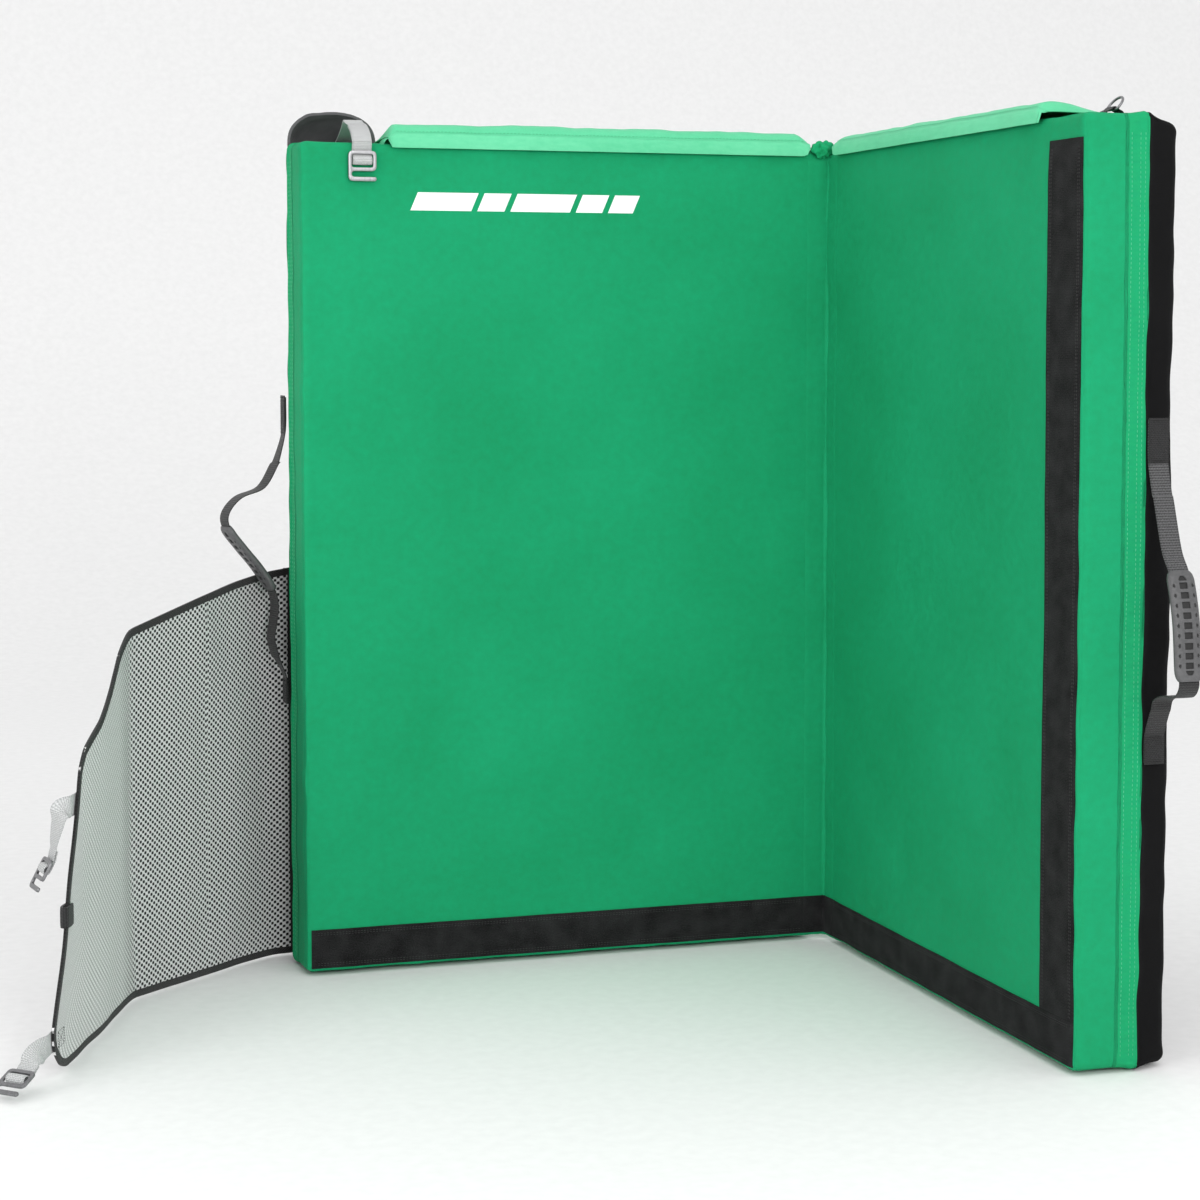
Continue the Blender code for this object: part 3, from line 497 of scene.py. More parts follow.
def rounded_outline(points, radius, steps=4):
    """A closed outline with each corner turned into an arc of a radius."""
    out = []
    count = len(points)
    for i, point in enumerate(points):
        here = Vector(point)
        before = Vector(points[i - 1]) - here
        after = Vector(points[(i + 1) % count]) - here
        reach = min(radius, before.length * 0.49, after.length * 0.49)
        first = here + before.normalized() * reach
        last = here + after.normalized() * reach
        for k in range(steps + 1):
            t = k / steps
            out.append(tuple(first * (1 - t) ** 2 + here * 2 * t * (1 - t) + last * t * t))
    return out


# ---------------------------------------------------------------- stitching

THREADS = {}


def stitch(body, material, path, normal, pitch=0.0044, length=0.0031, radius=0.00038):
    """Stitches along a path in the row frame, each a small thread that lies on the cloth."""
    path = np.asarray(path, float)
    run = run_of(path)
    count = max(1, int(run[-1] / pitch))
    normal = np.broadcast_to(np.asarray(normal, float), path.shape)
    verts, faces = THREADS.setdefault((body, material.name), ([], []))
    for k in range(count):
        middle = (k + 0.5) * run[-1] / count
        ends = (middle - length / 2, middle - length / 4, middle + length / 4, middle + length / 2)
        spots = [np.array([np.interp(e, run, path[:, i]) for i in range(3)]) for e in ends]
        up = unit(np.array([np.interp(middle, run, normal[:, i]) for i in range(3)]))
        along = unit(spots[3] - spots[0])
        side = np.cross(along, up)
        base = len(verts)
        verts.append(spots[0] - up * radius * 0.6)
        for spot in spots[1:3]:
            verts += [spot + side * radius, spot + up * radius, spot - side * radius,
                      spot - up * radius]
        verts.append(spots[3] - up * radius * 0.6)
        for j in range(4):
            n = (j + 1) % 4
            faces.append((base, base + 1 + n, base + 1 + j))
            faces.append((base + 1 + j, base + 1 + n, base + 5 + n, base + 5 + j))
            faces.append((base + 9, base + 5 + j, base + 5 + n))


def box_and_cross(body, material, side, corners, normal):
    """The stitched box with a cross in it that holds a strap's end; four corners in order."""
    a, b, c, d = place(side, corners)
    for first, last in ((a, b), (b, c), (c, d), (d, a), (a, c), (b, d)):
        stitch(body, material, np.linspace(first, last, 8), normal, 0.0030, 0.0022, 0.00030)


def make_threads():
    for (body, name), (verts, faces) in THREADS.items():
        piece = make_piece(f"{body}_{name}", verts, faces, bpy.data.materials[name],
                           closed=False)
        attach(piece, body)


# ---------------------------------------------------------------- panels

def cut_lines(low, high, step, close=(0.0, 0.0035, 0.007, 0.011, 0.017)):
    """Positions of grid lines between two ends, close together near both."""
    inner = np.linspace(low + 0.026, high - 0.026, max(2, int((high - low) / step)))
    return np.concatenate([low + np.array(close), inner, high - np.array(close)[::-1]])


def box_skin(lines):
    """Points and quads of a box whose surface is cut along three lists of lines."""
    last = [len(line) - 1 for line in lines]
    numbers, verts, faces = {}, [], []

    def at(key):
        if key not in numbers:
            numbers[key] = len(verts)
            verts.append([line[k] for line, k in zip(lines, key)])
        return numbers[key]

    for axis in range(3):
        u, v = (axis + 1) % 3, (axis + 2) % 3
        for end in (0, last[axis]):
            for i in range(last[u]):
                for j in range(last[v]):
                    quad = []
                    for du, dv in ((0, 0), (1, 0), (1, 1), (0, 1)):
                        key = [0, 0, 0]
                        key[axis], key[u], key[v] = end, i + du, j + dv
                        quad.append(at(tuple(key)))
                    faces.append(quad if end else quad[::-1])
    return np.array(verts), faces


def round_box(points, low, high, radius):
    """Push the points of a box's surface onto the same box with rounded edges."""
    core = np.clip(points, low + radius, high - radius)
    return core + unit(points - core) * radius


def evaluated(piece):
    """Vertices, normals, faces and face tags of an object with its modifiers."""
    graph = bpy.context.evaluated_depsgraph_get()
    mesh = piece.evaluated_get(graph).to_mesh()
    verts = np.array([v.co for v in mesh.vertices])
    normals = np.array([v.normal for v in mesh.vertices])
    faces = [list(p.vertices) for p in mesh.polygons]
    tags = np.array([p.material_index for p in mesh.polygons])
    return verts, normals, faces, tags


def scratch_object(name, verts, faces):
    mesh = bpy.data.meshes.new(name)
    mesh.from_pydata([tuple(v) for v in verts], [], [tuple(f) for f in faces])
    piece = bpy.data.objects.new(name, mesh)
    bpy.context.scene.collection.objects.link(piece)
    return piece


def inflate(verts, faces, pinned, pressure, spare, cap, frames=16):
    """Cloth simulation of a closed cover that its filling pushes out; cap limits each point."""
    piece = scratch_object("inflating_cover", verts, faces)
    pins = piece.vertex_groups.new(name="pins")
    pins.add([int(i) for i in np.flatnonzero(pinned)], 1.0, "REPLACE")
    cloth = piece.modifiers.new("Cloth", "CLOTH")
    settings = cloth.settings
    settings.quality = 5
    settings.mass = 0.25
    settings.tension_stiffness = 22
    settings.compression_stiffness = 22
    settings.shear_stiffness = 9
    settings.bending_stiffness = 0.6
    settings.use_pressure = True
    settings.uniform_pressure_force = pressure
    settings.shrink_min = -spare
    settings.vertex_group_mass = "pins"
    settings.effector_weights.gravity = 0.0
    cloth.point_cache.frame_start = 1
    cloth.point_cache.frame_end = frames
    for number in range(1, frames + 1):
        bpy.context.scene.frame_set(number)
    moved = evaluated(piece)[0] - verts
    bpy.data.objects.remove(piece, do_unlink=True)
    bpy.context.scene.frame_set(1)
    length = np.linalg.norm(moved, axis=1, keepdims=True)
    return verts + moved * np.minimum(1.0, cap / np.maximum(length, 1e-9))


def subdivided(verts, faces, tags):
    piece = scratch_object("dividing_cover", verts, faces)
    for _ in range(2):
        piece.data.materials.append(None)
    piece.data.polygons.foreach_set("material_index", tags)
    level = piece.modifiers.new("Subdivision", "SUBSURF")
    level.levels = level.render_levels = 1
    result = evaluated(piece)
    bpy.data.objects.remove(piece, do_unlink=True)
    return result


def ripple(point, scale, seed):
    return noise.noise(Vector(point) * scale + Vector((seed, seed * 0.7, -seed)))


def cloth_relief(point, normal, seed):
    """How far the cover stands out of its smooth shape: creases, the seam's groove, the hem."""
    a, y, z = point
    wall = 1.0 - min(1.0, abs(normal[1]) * 1.4)
    out = 0.0011 * ripple(point, 6.0, seed) + 0.0006 * ripple(point, 21.0, seed + 3)
    along = z if abs(normal[0]) > abs(normal[2]) else a
    tug = ripple((along * 26.0, y * 9.0, 0.0), 1.0, seed + 5)
    out += wall * 0.0015 * tug
    out -= wall * 0.0019 * math.exp(-((y - SEAM) / 0.0028) ** 2)
    if SEAM - HEM < y < SEAM:
        out += wall * 0.0005
    if y > SEAM:
        out += 0.0016 * ripple(point, 11.0, seed + 11) + 0.0010 * ripple(point, 30.0, seed + 13)
    edge = min(a - SIDE_GAP, REACH - a, z, HEIGHT - z)
    if wall < 0.5:
        near = math.exp(-max(0.0, edge) / 0.045)
        out += 0.0016 * near * ripple((a * 22.0, 0.0, z * 22.0), 1.0, seed + 8)
        slant = ripple(((a + z) * 9.0, (a - z) * 2.6, 0.0), 1.0, seed + 17)
        out += 0.0010 * math.exp(-max(0.0, edge) / 0.16) * slant
    return out


# Grid lines through the panel's depth, close together at its corners and at the seam.
SKIN_DEPTHS = (0, 0.0035, 0.007, 0.011, 0.020, 0.032, 0.044, 0.054, 0.062, 0.070, 0.0755,
               0.0792, 0.083, 0.088, 0.096, 0.106, 0.1135, 0.117, 0.1205)
SKIN_INSET, SKIN_STEP, SKIN_CORNER = 0.0015, 0.0135, 0.011
FACE_DEPTH, FACE_SWELL, SIDE_SWELL = 0.006, 0.0012, 0.0036
FACE_LIMIT = FACE - 0.0030


def build_skin(seed):
    """The whole cover of one panel, as fine vertices, normals, faces and tags (0 is the landing)."""
    low = np.array((SIDE_GAP, FACE, 0.0)) + SKIN_INSET
    high = np.array((REACH, BACK, HEIGHT)) - SKIN_INSET
    depth = FACE + SKIN_INSET + np.append(SKIN_DEPTHS, high[1] - low[1])
    lines = [cut_lines(low[0], high[0], SKIN_STEP), depth, cut_lines(low[2], high[2], SKIN_STEP)]
    verts, faces = box_skin(lines)
    middles = np.array([verts[list(f)].mean(0) for f in faces])
    tags = (middles[:, 1] > SEAM).astype(np.int32)
    pinned = (np.abs(verts[:, 1] - SEAM) < 0.003) & (
        np.min(np.abs(np.concatenate([verts[:, [0]] - low[0], verts[:, [0]] - high[0],
                                      verts[:, [2]] - low[2], verts[:, [2]] - high[2]], axis=1)),
               axis=1) < 1e-6)
    verts = round_box(verts, low, high, SKIN_CORNER)
    back_share = np.clip((verts[:, 1] - SEAM) / (BACK - SEAM), 0, 1) * BASE_TAPER
    verts[:, 0] -= back_share * (verts[:, 0] - SIDE_GAP) / (REACH - SIDE_GAP)
    verts[:, 2] -= back_share * verts[:, 2] / HEIGHT
    cap = np.where(verts[:, 1] < FACE + FACE_DEPTH, FACE_SWELL, SIDE_SWELL)[:, None]
    verts = inflate(verts, faces, pinned, 4.0, 0.004, cap)
    verts, normals, faces, tags = subdivided(verts, faces, tags)
    lift = np.array([cloth_relief(p, n, seed) for p, n in zip(verts, normals)])
    verts = verts + normals * lift[:, None]
    verts[:, 2] = np.maximum(verts[:, 2], 0.0)
    verts[:, 1] = np.maximum(verts[:, 1], FACE_LIMIT)
    return verts, normals, faces, tags


def skin_piece(name, side, skin, tag, material):
    """One tray of a panel's cover: its outer skin, its inner skin and the rim at the seam."""
    verts, normals, faces, tags = skin
    chosen = [faces[i] for i in np.flatnonzero(tags == tag)]
    used = sorted({v for f in chosen for v in f})
    number = {v: i for i, v in enumerate(used)}
    outer = verts[used]
    facing = normals[used]
    half = len(used)
    quads = [[number[v] for v in f] for f in chosen]
    seen = {}
    for f in quads:
        for pair in zip(f, f[1:] + f[:1]):
            key = (min(pair), max(pair))
            seen[key] = None if key in seen else pair
    rim = [(b, a, half + a, half + b) for a, b in filter(None, seen.values())]
    every = quads + [[half + v for v in reversed(f)] for f in quads] + rim
    points = np.concatenate([outer, outer - facing * COVER_SKIN])
    wall = np.abs(facing[:, 1]) < 0.6
    # The hem band's mask: here the green cloth gives its puckers a painted highlight.
    hem = ((outer[:, 1] > SEAM - HEM) & (outer[:, 1] < SEAM + 0.001) & wall).astype(float)
    hem = np.concatenate([hem, hem]) * (1.0 if tag == 0 else 0.0)
    corners = []
    for f in every:
        flat = facing[[v % half for v in f]].mean(0)
        axis = int(np.argmax(np.abs(flat)))
        first, second = ((1, 2), (0, 2), (0, 1))[axis]
        for v in f:
            corners.append((points[v][first], points[v][second], hem[v]))
    if side == "left":
        every = [list(reversed(f)) for f in every]
        flipped, at = [], 0
        for f in every:
            flipped += corners[at:at + len(f)][::-1]
            at += len(f)
        corners = flipped
    piece = make_piece(name, place(side, points), every, material, corners, closed=False)
    return piece


SURFACES = {}
APPROACH = {"face": (1, FACE - 0.05, 1.0), "outer": (0, REACH + 0.05, -1.0),
            "top": (2, HEIGHT + 0.05, -1.0), "back": (1, BACK + 0.05, -1.0)}


def on_cover(side, wall, point, lift=0.0):
    """The point of a panel's cover nearest along the wall's normal, moved out by lift."""
    axis, start, way = APPROACH[wall]
    origin = Vector(point)
    origin[axis] = start
    direction = Vector((0, 0, 0))
    direction[axis] = way
    hit = SURFACES[side].ray_cast(origin, direction)[0] or origin + direction * 0.05
    return hit - direction * lift


def build_panel(side, seed):
    skin = build_skin(seed)
    SURFACES[side] = BVHTree.FromPolygons([tuple(v) for v in skin[0]], skin[2])
    body = f"{side}_panel"
    landing = skin_piece(f"{side}_landing_cloth", side, skin, 0, GREEN_CLOTH)
    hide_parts(f"{side}_landing_cover")
    base = skin_piece(f"{side}_base_cloth", side, skin, 1, BLACK_CLOTH)
    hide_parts(f"{side}_base_cover")
    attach(landing, body)
    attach(base, body)
    build_foam(side, body)
    stitch_hem(side, body)


def build_foam(side, body):
    """The three foam layers inside the covers."""
    inset, stiff, core = 0.0075, 0.0215, 0.022
    layers = (("top", FACE + inset, FACE + stiff, GREY_FOAM, "closed_foam"),
              ("core", FACE + core, BACK - core, CREAM_FOAM, "open_foam"),
              ("base", BACK - stiff, BACK - inset, GREY_FOAM, "closed_foam"))
    for layer, near, far, material, slot in layers:
        high_z = HEIGHT - inset - BASE_TAPER * (layer != "top")
        high_a = REACH - inset - BASE_TAPER * (layer != "top")
        low = np.array((SIDE_GAP + inset, near, inset))
        high = np.array((high_a, far, high_z))
        radius = 0.003
        close = (0.0, 0.0015, 0.003)
        lines = [cut_lines(low[0], high[0], 0.09, close),
                 np.array([near, near + 0.0015, near + radius, far - radius, far - 0.0015, far]),
                 cut_lines(low[2], high[2], 0.09, close)]
        verts, faces = box_skin(lines)
        verts = round_box(verts, low, high, radius)
        name = f"{side}_{layer}_foam"
        piece = make_piece(f"{name}_block", place(side, verts), faces, material)
        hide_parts(name)
        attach(piece, body)


def stitch_hem(side, body):
    """Rows of stitching in the landing cover's hem, round the outer side and the top."""
    low_end, near_end, step, lift = 0.018, 0.020, 0.008, 0.0001
    for back in (0.0045, 0.0095, 0.0200):
        column = [on_cover(side, "outer", (0, SEAM - back, z), lift)
                  for z in np.arange(low_end, HEIGHT - low_end, step)]
        stitch(body, GREEN_THREAD, place(side, column), OUTWARD[side], 0.0052, 0.0036)
        row = [on_cover(side, "top", (a, SEAM - back, 0), lift)
               for a in np.arange(near_end, REACH - near_end, step)]
        stitch(body, GREEN_THREAD, place(side, row), (0, 0, 1), 0.0052, 0.0036)


# ---------------------------------------------------------------- landing faces

def face_sheet(name, side, spans, thickness, lift, step, material):
    """A thin piece that lies on the landing face, between two distances and two heights."""
    (near, far), (low, high) = spans
    columns = max(2, int((far - near) / step))
    rows = max(2, int((high - low) / step))
    grid = np.array([[on_cover(side, "face", (a, 0, z), lift)
                      for z in np.linspace(low, high, rows)] for a in np.linspace(near, far, columns)])
    return add_sheet(name, side, grid, thickness, material)


def build_tape(node, side, spans, insets):
    """Hook-and-loop tape with rows of stitches along both borders, at insets from them."""
    piece = face_sheet(f"{node}_tape", side, spans, 0.0015, 0.0008, 0.009, FELT)
    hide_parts(node)
    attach(piece, f"{side}_panel")
    (near, far), (low, high) = spans
    for inset in insets:
        if far - near > high - low:
            lines = [[(a, 0, z) for a in np.arange(near + 0.003, far - 0.002, 0.009)]
                     for z in (low + inset, high - inset)]
        else:
            lines = [[(a, 0, z) for z in np.arange(low + 0.003, high - 0.002, 0.009)]
                     for a in (near + inset, far - inset)]
        for line in lines:
            points = [on_cover(side, "face", p, 0.0017) for p in line]
            stitch(f"{side}_panel", BLACK_THREAD, place(side, points), FACING[side], 0.0040, 0.0029)


def node_spans(node, side):
    """The stretch of the landing face that a CAD node covers, as (near, far) and (low, high)."""
    low, high = (local(side, corner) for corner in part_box(node))
    return (min(low.x, high.x), max(low.x, high.x)), (low.z, high.z)


def fold_plan(z):
    """Plan of the cloth round the fold at a height: out of one landing face and into the other."""
    corner = 0.0064
    halves = []
    for side in ("left", "right"):
        depth = on_cover(side, "face", (0.021, 0, z)).y
        halves.append([(-0.026, depth + 0.0010), (-0.019, depth + 0.0001), (-0.012, depth - 0.0001),
                       (-0.006, depth - 0.0003), (0.000, depth - 0.0004),
                       (0.0040, depth - 0.0003)])
    whole = halves[0] + [(corner, corner)] + [(y, x) for x, y in reversed(halves[1])]
    return curve_through(whole, 4)


def fold_piece(name, offset, low, high, thickness, material, rows):
    """A strip of cloth round the fold, offset towards the landing side."""
    shift = offset / math.sqrt(2)
    grid = []
    for z in np.linspace(low, high, rows):
        tuck = 1.4 * max(0.0, z - HEIGHT + 0.010) - shift
        grid.append([(FOLD.x + x + tuck, FOLD.y + y + tuck, z) for x, y in fold_plan(z)])
    grid = np.array(grid).transpose(1, 0, 2)
    verts, faces, st = cloth_sheet(grid, thickness)
    piece = make_piece(name, verts, faces, material, st)
    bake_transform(piece)
    return piece, grid


def build_landing_faces():
    for node, side in (("left_bottom_strip", "left"), ("right_bottom_strip", "right")):
        (near, far), heights = node_spans(node, side)
        build_tape(node, side, ((near + 0.006, far), heights), (0.0040, 0.0065))
    build_tape("right_side_strip", "right", node_spans("right_side_strip", "right"), (0.0045, 0.0075))
    piece, grid = fold_piece("fold_cloth", 0.0, 0.006, HEIGHT - 0.001, 0.0010, GREEN_CLOTH,
                             140)
    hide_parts("left_hinge_leaf", "right_hinge_leaf")
    low, high = node_spans("left_bottom_strip", "left")[1]
    fold_piece("fold_tape", 0.0016, low, high, 0.0016, FELT, 7)
    build_print()


PRINT_LOW, PRINT_HIGH, PRINT_SLANT = 0.978, 1.001, 0.010
PRINT_BARS = ((0.566, 0.486), (0.478, 0.442), (0.434, 0.354), (0.346, 0.310), (0.302, 0.268))


def build_print():
    """A plain white mark of slanted bars, with no lettering, where the cover is printed."""
    tall = PRINT_HIGH - PRINT_LOW
    for number, (start, end) in enumerate(PRINT_BARS):
        grid = np.array([[on_cover("left", "face", (a - PRINT_SLANT * v, 0, PRINT_LOW + tall * v), 0.0002)
                          for v in np.linspace(0, 1, 5)]
                         for a in np.linspace(start, end, max(3, int((start - end) / 0.009)))])
        piece = add_sheet(f"face_print_{number}", "left", grid, 0.0004, PRINT)
        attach(piece, "left_panel")


# ---------------------------------------------------------------- cloth along the top edge

LINK_CLOTH = 0.0012


def link_profile(rise):
    """Section of a link flap from its seam to its hem, as distance from the fold axis and height."""
    return curve_through([(SEAM + 0.0002, -0.0022), (SEAM - 0.0042, 0.0022), (0.062, 0.55 * rise),
                          (0.040, 0.92 * rise), (0.018, rise), (0.0062, 0.66 * rise),
                          (0.0022, 0.0005), (0.0014, -0.0105)], 5)


def build_link_flap(side, far, rise, seed):
    """A flap of green cloth, painted paler as painted light, that arches forward over the top edge, with a
    stitched hem.
    """
    near = 0.020
    columns, rows, hem_rows = 130, 34, 6
    round_end, least = 0.012, 0.90
    far_drop, near_drop = 0.012, 0.022
    profile = link_profile(rise)
    grid = np.zeros((columns, rows, 3))
    for i, a in enumerate(np.linspace(near, far, columns)):
        from_end = min((a - near) / round_end, (far - a) / (round_end * 0.5), 1.0)
        share = least + (1 - least) * math.sqrt(1 - (1 - from_end) ** 2)
        closed = min(1.0, 0.10 + 0.90 * math.sin(math.pi / 2 * min(1.0, (far - a) / far_drop)),
                     0.30 + 0.70 * math.sin(math.pi / 2 * min(1.0, (a - near) / near_drop)))
        for j, (y, z) in enumerate(resampled(profile, rows, share)[0]):
            free = math.sin(math.pi * min(1.0, j / rows * 1.15)) ** 0.6
            lift = 0.0026 * ripple((a * 13.0, j * 0.05, 0.0), 1.0, seed)
            lift += 0.0012 * ripple((a * 45.0, j * 0.09, 0.0), 1.0, seed + 4)
            sway = 0.0022 * ripple((a * 17.0, 1.0, 0.0), 1.0, seed + 7) * j / rows
            grid[i, j] = (a, y + sway, HEIGHT + min(z, z * closed + 0.0008) + lift * free * closed)
    thick = np.full((columns, rows), LINK_CLOTH)
    thick[:, -hem_rows:] = 2 * LINK_CLOTH
    # The hem rows are mixed a little towards the paler hem colour: painted highlight.
    mask = np.zeros((columns, rows))
    mask[:, -hem_rows:] = 0.15
    piece = add_sheet(f"{side}_link_cloth", side, grid, thick, PAINTED_LIT_GREEN_CLOTH, mask)
    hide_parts(f"{side}_link_flap")
    blend_between(piece)
    facing = (0, -0.6, 0.8) if side == "left" else (-0.6, 0, 0.8)
    for back in (hem_rows, hem_rows - 2):
        line = grid[2:-2, -back - 1] + np.array((0, -0.0007, 0.0009))
        stitch(f"{side}_link", GREEN_THREAD, place(side, line), facing, 0.0048, 0.0034)
    return grid


def build_frayed_end(grid):
    """Loose threads at the cut end of the left link flap."""
    verts, faces, st = [], [], []
    for k in range(9):
        root = Vector(grid[-1, 20 + k])
        drift = Vector((0.006 + 0.004 * ripple((k, 0, 0), 0.9, 3), 0.004 * ripple((k, 1, 0), 0.9, 5),
                        -0.004 - 0.006 * abs(ripple((k, 2, 0), 0.9, 7))))
        path = curve_through([root - Vector((0.002, 0, 0)), root + drift * 0.5,
                              root + drift + Vector((0.001, -0.001, -0.003))], 3)
        v, f, s = band(path, (0, 1, 0), 0.0007, 0.0007)
        faces += [tuple(q + len(verts) for q in face) for face in f]
        verts += list(v)
        st += list(s)
    piece = make_piece("left_link_frayed_end", place("left", verts), faces, PAINTED_LIT_GREEN_CLOTH,
                       st)
    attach(piece, "left_link")


# The hood's arches from its open front to its back: distance into the foam, half width, rise.
HOOD_RINGS = ((0.0900, 0.0560, 0.0375), (0.0930, 0.0555, 0.0368), (0.0975, 0.0545, 0.0350),
              (0.1045, 0.0530, 0.0320), (0.1060, 0.0525, 0.0312), (0.1130, 0.0500, 0.0275),
              (0.1200, 0.0465, 0.0222), (0.1255, 0.0410, 0.0140), (0.1295, 0.0350, 0.0050),
              (0.1312, 0.0330, -0.0020))
HOOD_MIDDLE, HOOD_CLOTH_THICK, HOOD_HEM_THICK = 0.649, 0.0020, 0.0036


def build_hood():
    """The base cover's loose corner, an arch of heavy cloth with a hem, open at the front."""
    steps, hem_rings = 40, 4
    grid = np.zeros((steps + 1, len(HOOD_RINGS), 3))
    for j, (y, half, rise) in enumerate(HOOD_RINGS):
        foot = HEIGHT - 0.001 - BASE_TAPER * min(1.0, max(0.0, (y - SEAM) / (BACK - SEAM)))
        for k in range(steps + 1):
            angle = math.pi * k / steps
            crumple = 1 + 0.045 * ripple((k * 0.20, j * 0.30, 0.0), 1.0, 11) * math.sin(angle)
            crumple += 0.02 * ripple((k * 0.55, j * 0.2, 0.0), 1.0, 15) * math.sin(angle)
            flat = abs(math.cos(angle)) ** 0.85 * math.copysign(1, math.cos(angle))
            grid[k, j] = (HOOD_MIDDLE - half * flat, y,
                          foot + (HEIGHT + rise - foot) * math.sin(angle) ** 0.8 * crumple)
    thick = np.full(grid.shape[:2], HOOD_CLOTH_THICK)
    thick[:, :hem_rings] = HOOD_HEM_THICK
    piece = add_sheet("corner_hood_cloth", "left", grid, thick, HOOD_CLOTH)
    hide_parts("corner_hood")
    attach(piece, "left_panel")
    line = grid[2:-2, hem_rings - 1] + np.array((0, 0.0003, 0.0016))
    stitch("left_panel", BLACK_THREAD, place("left", line), (0, 0, 1), 0.0042, 0.0030)


def build_fold_knot():
    """The cover's gathered corner at the top of the fold."""
    rows, columns, folds = 26, 34, 5
    centre = Vector((0.0, 0.0100, HEIGHT - 0.0010))
    half_size = Vector((0.0150, 0.0105, 0.0110))
    verts = []
    for i in range(rows):
        polar = math.pi * (i + 0.5) / rows
        for j in range(columns):
            turn = math.tau * j / columns
            out = Vector((math.sin(polar) * math.cos(turn), math.sin(polar) * math.sin(turn),
                          math.cos(polar)))
            fold = 1 + 0.26 * math.sin(turn * folds + 2.2 * polar) * math.sin(polar)
            fold += 0.34 * ripple(out, 2.3, 21) + 0.16 * ripple(out, 6.0, 23)
            size = half_size * fold
            verts.append(centre + Vector([out[k] * size[k] for k in range(3)]))
    faces = tube_faces(rows, columns)
    piece = make_piece("fold_gather", place("left", verts), faces, GREEN_CLOTH)
    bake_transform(piece)


def build_ring():
    """A wire ring in a webbing tab at the right panel's top seam."""
    middle = joint_place("top_ring_swing", "right")
    tab = [(middle.y + 0.011, -0.0045), (middle.y + 0.010, 0.0012), (middle.y + 0.005, 0.0040),
           (middle.y, 0.0072), (middle.y - 0.005, 0.0040), (middle.y - 0.010, 0.0016),
           (middle.y - 0.011, -0.0030)]
    path = curve_through([(middle.x, y, HEIGHT + z) for y, z in tab], 4)
    piece = add_band("ring_tab_webbing", "right", path, (1, 0, 0), BLACK_WEBBING,
                     0.018, 0.0013)
    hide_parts("ring_tab")
    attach(piece, "right_panel")
    lean = Matrix.Rotation(math.radians(-38), 3, "X")
    half, height, wire, corner = 0.013, 0.018, 0.0015, 0.0035
    loop = [(-half + corner, 0.0), (half - corner, 0.0), (half - 0.001, 0.001), (half, corner)]
    loop += [(half * math.cos(t), height * (0.35 + 0.65 * math.sin(t)))
             for t in np.linspace(0.12, math.pi - 0.12, 22)]
    loop += [(-half, corner), (-half + 0.001, 0.001)]
    points = np.array([middle + lean @ Vector((u, 0, v)) for u, v in loop])
    along = unit(np.roll(points, -1, 0) - np.roll(points, 1, 0))
    side = np.array(lean @ Vector((0, 1, 0)))
    out = np.cross(along, side)
    sides = 10
    verts = [points[i] + (side * math.cos(t) + out[i] * math.sin(t)) * wire
             for i in range(len(points)) for t in np.arange(sides) * math.tau / sides]
    faces = tube_faces(len(points), sides, joined=True)
    piece = make_piece("top_ring_wire", place("right", verts), faces, METAL)
    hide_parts("top_ring")
    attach(piece, "top_ring")


# ---------------------------------------------------------------- hook buckles and their straps

BUCKLE_WIDTH, BUCKLE_HEIGHT, BUCKLE_THICK, BUCKLE_SWING = 0.036, 0.038, 0.0030, 0.0015
LOOP_START = -0.010
LOOP = ((LOOP_START, 0.0), (-0.0050, 0.0008), (0.0010, 0.0026), (0.0055, 0.0027), (0.0080, 0.0006),
        (0.0105, -0.0024), (0.0145, -0.0032), (0.0178, -0.0014), (0.0184, 0.0014), (0.0165, 0.0040),
        (0.0115, 0.0048), (0.0055, 0.0046), (0.0005, 0.0045), (-0.0050, 0.0030), (LOOP_START, 0.0019))


def hook_plate():
    """A hook buckle lying flat: a webbing window above, and a slot that opens at one side below."""
    half, top, bar, slot_top, slot_low, cut = BUCKLE_WIDTH / 2, BUCKLE_HEIGHT, 0.0042, 0.0125, 0.0052, 0.0062
    border = [(-half, slot_top), (-half, top), (half, top), (half, 0), (-half, 0), (-half, slot_low),
              (half - bar, slot_low), (half - bar, slot_top)]
    window = [(-half + bar, slot_top + 0.0045), (half - bar, slot_top + 0.0045),
              (half - bar, top - bar), (-half + bar, top - bar)]
    rounded = rounded_outline(border, cut)
    return plate([rounded, rounded_outline(window, 0.0032)], BUCKLE_THICK, 0.0007)


def build_buckle(node, side, pivot, across, down, back):
    """A metal hook buckle with the strap's own webbing rolled round its upper bar.

    back is the direction in which the webbing's end returns behind the strap.
    """
    pivot, across, down, back = (np.array(tuple(v), float) for v in (pivot, across, down, back))
    verts, faces = hook_plate()
    base = pivot + down * (BUCKLE_HEIGHT + BUCKLE_SWING)
    verts = base + verts[:, [0]] * across - verts[:, [1]] * down + verts[:, [2]] * back
    piece = make_piece(f"{node}_frame", place(side, verts), faces, METAL)
    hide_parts(node)
    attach(piece, node)
    path = curve_through([pivot + down * d + back * w for d, w in LOOP], 4)
    roll = add_band(f"{node}_webbing_roll", side, path, across, LIGHT_WEBBING)
    blend_between(roll)


# Routes of the top strap and of its folded end, as distance into the foam and height over the top.
TOP_STRAP = ((0.1235, -0.0100), (0.1160, -0.0020), (0.1040, 0.0022), (0.0920, 0.0060),
             (0.0740, 0.0142), (0.0620, 0.0218), (0.0560, 0.0262), (0.0500, 0.0236), (0.0400, 0.0210),
             (0.0280, 0.0182), (0.0100, 0.0080), (0.0030, -0.0005), (0.0010, -0.0040))
TOP_RETURN = ((0.0029, -0.0040), (0.0060, -0.0006), (0.0122, 0.0064), (0.0210, 0.0122),
              (0.0300, 0.0166))


